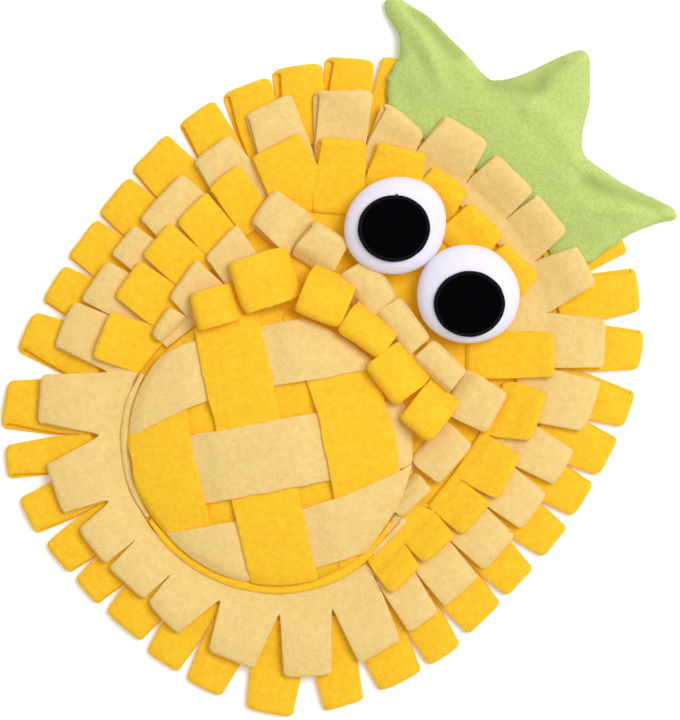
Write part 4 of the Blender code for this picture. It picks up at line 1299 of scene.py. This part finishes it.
def rim_path(pupil, eye):
    """The closed line that the satin stitches cross, just over the pupil's edge."""
    path = []
    inset = 1 - RIM_STITCH / 2 / pupil.half_width
    for turn in range(PUPIL_TURNS):
        point = pupil_point(pupil, turn, inset)
        path.append(place(point, eye_top(eye, point) + PUPIL_LIFT + PUPIL_THICKNESS + RIM_LIFT))
    return path


# ==== stitches, by Geometry Nodes ========================================================
SATIN = Stitching(pitch=0.9, length=RIM_STITCH + 0.5, radius=0.5, across=1.0, seed=3)
TAIL = Stitching(pitch=0.4, length=0.9, radius=0.45, across=0.0, seed=5)
RUNNING = Stitching(pitch=4.2, length=2.8, radius=0.4, across=0.0, seed=7)
WOBBLE = 0.09  # radians by which stitches turn from their line


def stitch_tree():
    """Stitches set along a line of edges: end to end, or across it as satin stitch is."""
    tree = bpy.data.node_groups.new("stitches along a seam", "GeometryNodeTree")
    sockets = (
        ("Geometry", "Geometry"), ("Pitch", "Float"), ("Length", "Float"), ("Radius", "Float"),
        ("Across", "Float"), ("Seed", "Int"), ("Thread", "Material"),
    )
    for name, kind in sockets:
        tree.interface.new_socket(name, in_out="INPUT", socket_type="NodeSocket" + kind)
    tree.interface.new_socket("Geometry", in_out="OUTPUT", socket_type="NodeSocketGeometry")
    inputs, outputs = add_node(tree, "NodeGroupInput"), add_node(tree, "NodeGroupOutput")
    to_curve = add_node(tree, "GeometryNodeMeshToCurve")
    resample = add_node(tree, "GeometryNodeResampleCurve", mode="LENGTH")
    thread = add_node(tree, "GeometryNodeMeshUVSphere", {"Segments": 6, "Rings": 5, "Radius": 1.0})
    shape = add_node(tree, "ShaderNodeCombineXYZ")
    half = add_node(tree, "ShaderNodeMath", {1: 0.5}, operation="MULTIPLY")
    tangent = add_node(tree, "GeometryNodeInputTangent")
    align = add_node(tree, "FunctionNodeAlignRotationToVector", axis="X")
    turned = add_node(tree, "FunctionNodeRotateRotation", rotation_space="LOCAL")
    quarter = add_node(tree, "ShaderNodeMath", {1: math.pi / 2}, operation="MULTIPLY")
    wobble = add_node(tree, "FunctionNodeRandomValue", {2: -WOBBLE, 3: WOBBLE}, data_type="FLOAT")
    spin = add_node(tree, "ShaderNodeMath", operation="ADD")
    angles = add_node(tree, "ShaderNodeCombineXYZ")
    instance = add_node(tree, "GeometryNodeInstanceOnPoints")
    realize = add_node(tree, "GeometryNodeRealizeInstances")
    dress = add_node(tree, "GeometryNodeSetMaterial")
    link_all(
        tree,
        (inputs, "Geometry", to_curve, "Mesh"), (to_curve, "Curve", resample, "Curve"),
        (inputs, "Pitch", resample, "Length"), (inputs, "Length", half, 0),
        (half, 0, shape, "X"), (inputs, "Radius", shape, "Y"), (inputs, "Radius", shape, "Z"),
        (tangent, "Tangent", align, "Vector"), (inputs, "Across", quarter, 0),
        (inputs, "Seed", wobble, "Seed"), (quarter, 0, spin, 0), (wobble, 1, spin, 1),
        (spin, 0, angles, "Z"), (align, "Rotation", turned, "Rotation"),
        (angles, 0, turned, "Rotate By"), (resample, "Curve", instance, "Points"),
        (thread, "Mesh", instance, "Instance"), (turned, "Rotation", instance, "Rotation"),
        (shape, 0, instance, "Scale"), (instance, "Instances", realize, "Geometry"),
        (realize, "Geometry", dress, "Geometry"), (inputs, "Thread", dress, "Material"),
        (dress, "Geometry", outputs, "Geometry"),
    )
    return tree


STITCH_TREE = stitch_tree()


def stitched(name, path, kind, thread, closed=True):
    """Stitches along a path of points, as a finished piece."""
    material, slot = thread
    mesh = bpy.data.meshes.new(name)
    edges = [(i, i + 1) for i in range(len(path) - 1)]
    if closed:
        edges.append((len(path) - 1, 0))
    mesh.from_pydata(path, edges, [])
    piece = bpy.data.objects.new(name, mesh)
    bpy.context.scene.collection.objects.link(piece)
    sewing = piece.modifiers.new("sewing", "NODES")
    sewing.node_group = STITCH_TREE
    values = {
        "Pitch": kind.pitch * MM, "Length": kind.length * MM, "Radius": kind.radius * MM,
        "Across": kind.across, "Seed": kind.seed, "Thread": material,
    }
    for item in STITCH_TREE.interface.items_tree:
        if item.item_type == "SOCKET" and item.in_out == "INPUT" and item.name in values:
            sewing[item.identifier] = values[item.name]
    made_plain(piece)
    piece.data.shade_smooth()
    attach(piece, "root")


# ==== base ===============================================================================
BASE_RAISE = 0.5  # the ground panel lies this far over the floor, on its own stitches
BASE_CLOTH = 2.4
BASE_TURNS, BASE_RINGS = 96, 10
BASE_CROWDING = 0.8  # its rings stand closer towards the edge


def make_base():
    """The flat ground panel, plain at the back."""
    sheet = bmesh.new()
    height = BASE_RAISE + BASE_CLOTH / 2
    middle = sheet.verts.new(place(BODY_MIDDLE, height))
    rings = []
    for step in range(1, BASE_RINGS + 1):
        share = (step / BASE_RINGS) ** BASE_CROWDING
        points = [oval_point(BASE, 360 * turn / BASE_TURNS) * share for turn in range(BASE_TURNS)]
        rings.append([sheet.verts.new(place(point, height)) for point in points])
    skin_rings(sheet, rings, middle)
    area = cloth_size(sheet)
    piece = cloth_piece("base_panel", sheet, BASE_CLOTH, GROUND_FLEECE, "base")


def make_seams():
    """The lines of running stitch at the back, where rows 1 and 2 are sewn on."""
    seams = {"back_seam_1": (INNER_1, ROOT_1), "back_seam_2": (INNER_2, ROOT_2)}
    for name, (inner, root) in seams.items():
        path = []
        for bearing in range(0, 360, 2):
            point = (oval_point(inner, bearing) + oval_point(root, bearing)) / 2
            path.append(place(point, BASE_RAISE))
        stitched(name, path, RUNNING, GOLDEN_THREAD)


# ==== light, floor and camera ============================================================
FRAME_HEIGHT = 446.4  # millimetres of the mat's plane from the picture's top to its bottom
CAMERA_DISTANCE = 1750.0
CAMERA_X, CAMERA_Y = -0.9, 14.6
CAMERA_ROLL = 40.0
FLOOR_SIZE = 6
FLOOR_COLOUR, FLOOR_GLOW = (0.95, 0.95, 0.95, 1), (0.9, 1, 1, 1)
SKY_STRENGTH = 0.62
KEY_PLACE, KEY_SIZE, KEY_POWER = Vector((0.3, 0.8, 1.65)), 1.0, 27.0
SENSOR = 36.0
LIGHT_BOUNCES = 14  # the golden glow in the folds is light that went to and fro, with the fleeces' painted glow on top


def key_light():
    light = bpy.data.lights.new("key", "AREA")
    light.shape = "SQUARE"
    light.size = KEY_SIZE
    light.energy = KEY_POWER
    lamp = bpy.data.objects.new("key", light)
    lamp.location = KEY_PLACE
    lamp.rotation_euler = (-KEY_PLACE).to_track_quat("-Z", "Y").to_euler()
    bpy.context.scene.collection.objects.link(lamp)


def make_stage():
    """A pale floor in even light, with one soft light high up."""
    sheet = bmesh.new()
    bmesh.ops.create_grid(sheet, x_segments=1, y_segments=1, size=FLOOR_SIZE)
    material, _ = new_material("pale floor", {
        "Base Color": FLOOR_COLOUR, "Emission Color": FLOOR_GLOW, "Emission Strength": 0.12,
        "Roughness": 0.9,
    })
    piece_from("floor", sheet, material)
    world = bpy.data.worlds.new("studio")
    world.use_nodes = True
    sky = {"Color": (1, 1, 1, 1), "Strength": SKY_STRENGTH}
    set_inputs(world.node_tree.nodes["Background"], sky)
    scene = bpy.context.scene
    scene.world = world
    key_light()
    scene.view_settings.view_transform = "Standard"
    scene.cycles.max_bounces = scene.cycles.diffuse_bounces = LIGHT_BOUNCES


def make_camera():
    """The camera straight above the mat, turned as in the photo."""
    data = bpy.data.cameras.new("camera")
    data.sensor_width = SENSOR
    data.lens = SENSOR * CAMERA_DISTANCE / FRAME_HEIGHT
    camera = bpy.data.objects.new("camera", data)
    camera.location = place(Vector((CAMERA_X, CAMERA_Y)), CAMERA_DISTANCE)
    camera.rotation_euler = (0, 0, math.radians(CAMERA_ROLL))
    bpy.context.scene.collection.objects.link(camera)
    bpy.context.scene.camera = camera


make_camera()
make_stage()
make_base()
make_rows()
lip_row("row_5", LIP_LOOPS, LIP_ROOT_HEIGHT)
lip_row("row_5_end", LIP_END, LIP_END_ROOT_HEIGHT)
make_pocket()
make_weave()
make_binding("binding_golden", GOLDEN_BINDING, GOLDEN_FLEECE)
make_binding("binding_pale", PALE_BINDING, PALE_FLEECE)
make_crown()
make_eye("eye_left", LEFT_EYE)
make_eye("eye_right", RIGHT_EYE)
make_pupil("pupil_left", LEFT_PUPIL, LEFT_EYE)
make_pupil("pupil_right", RIGHT_PUPIL, RIGHT_EYE)
thread_tail()
make_seams()
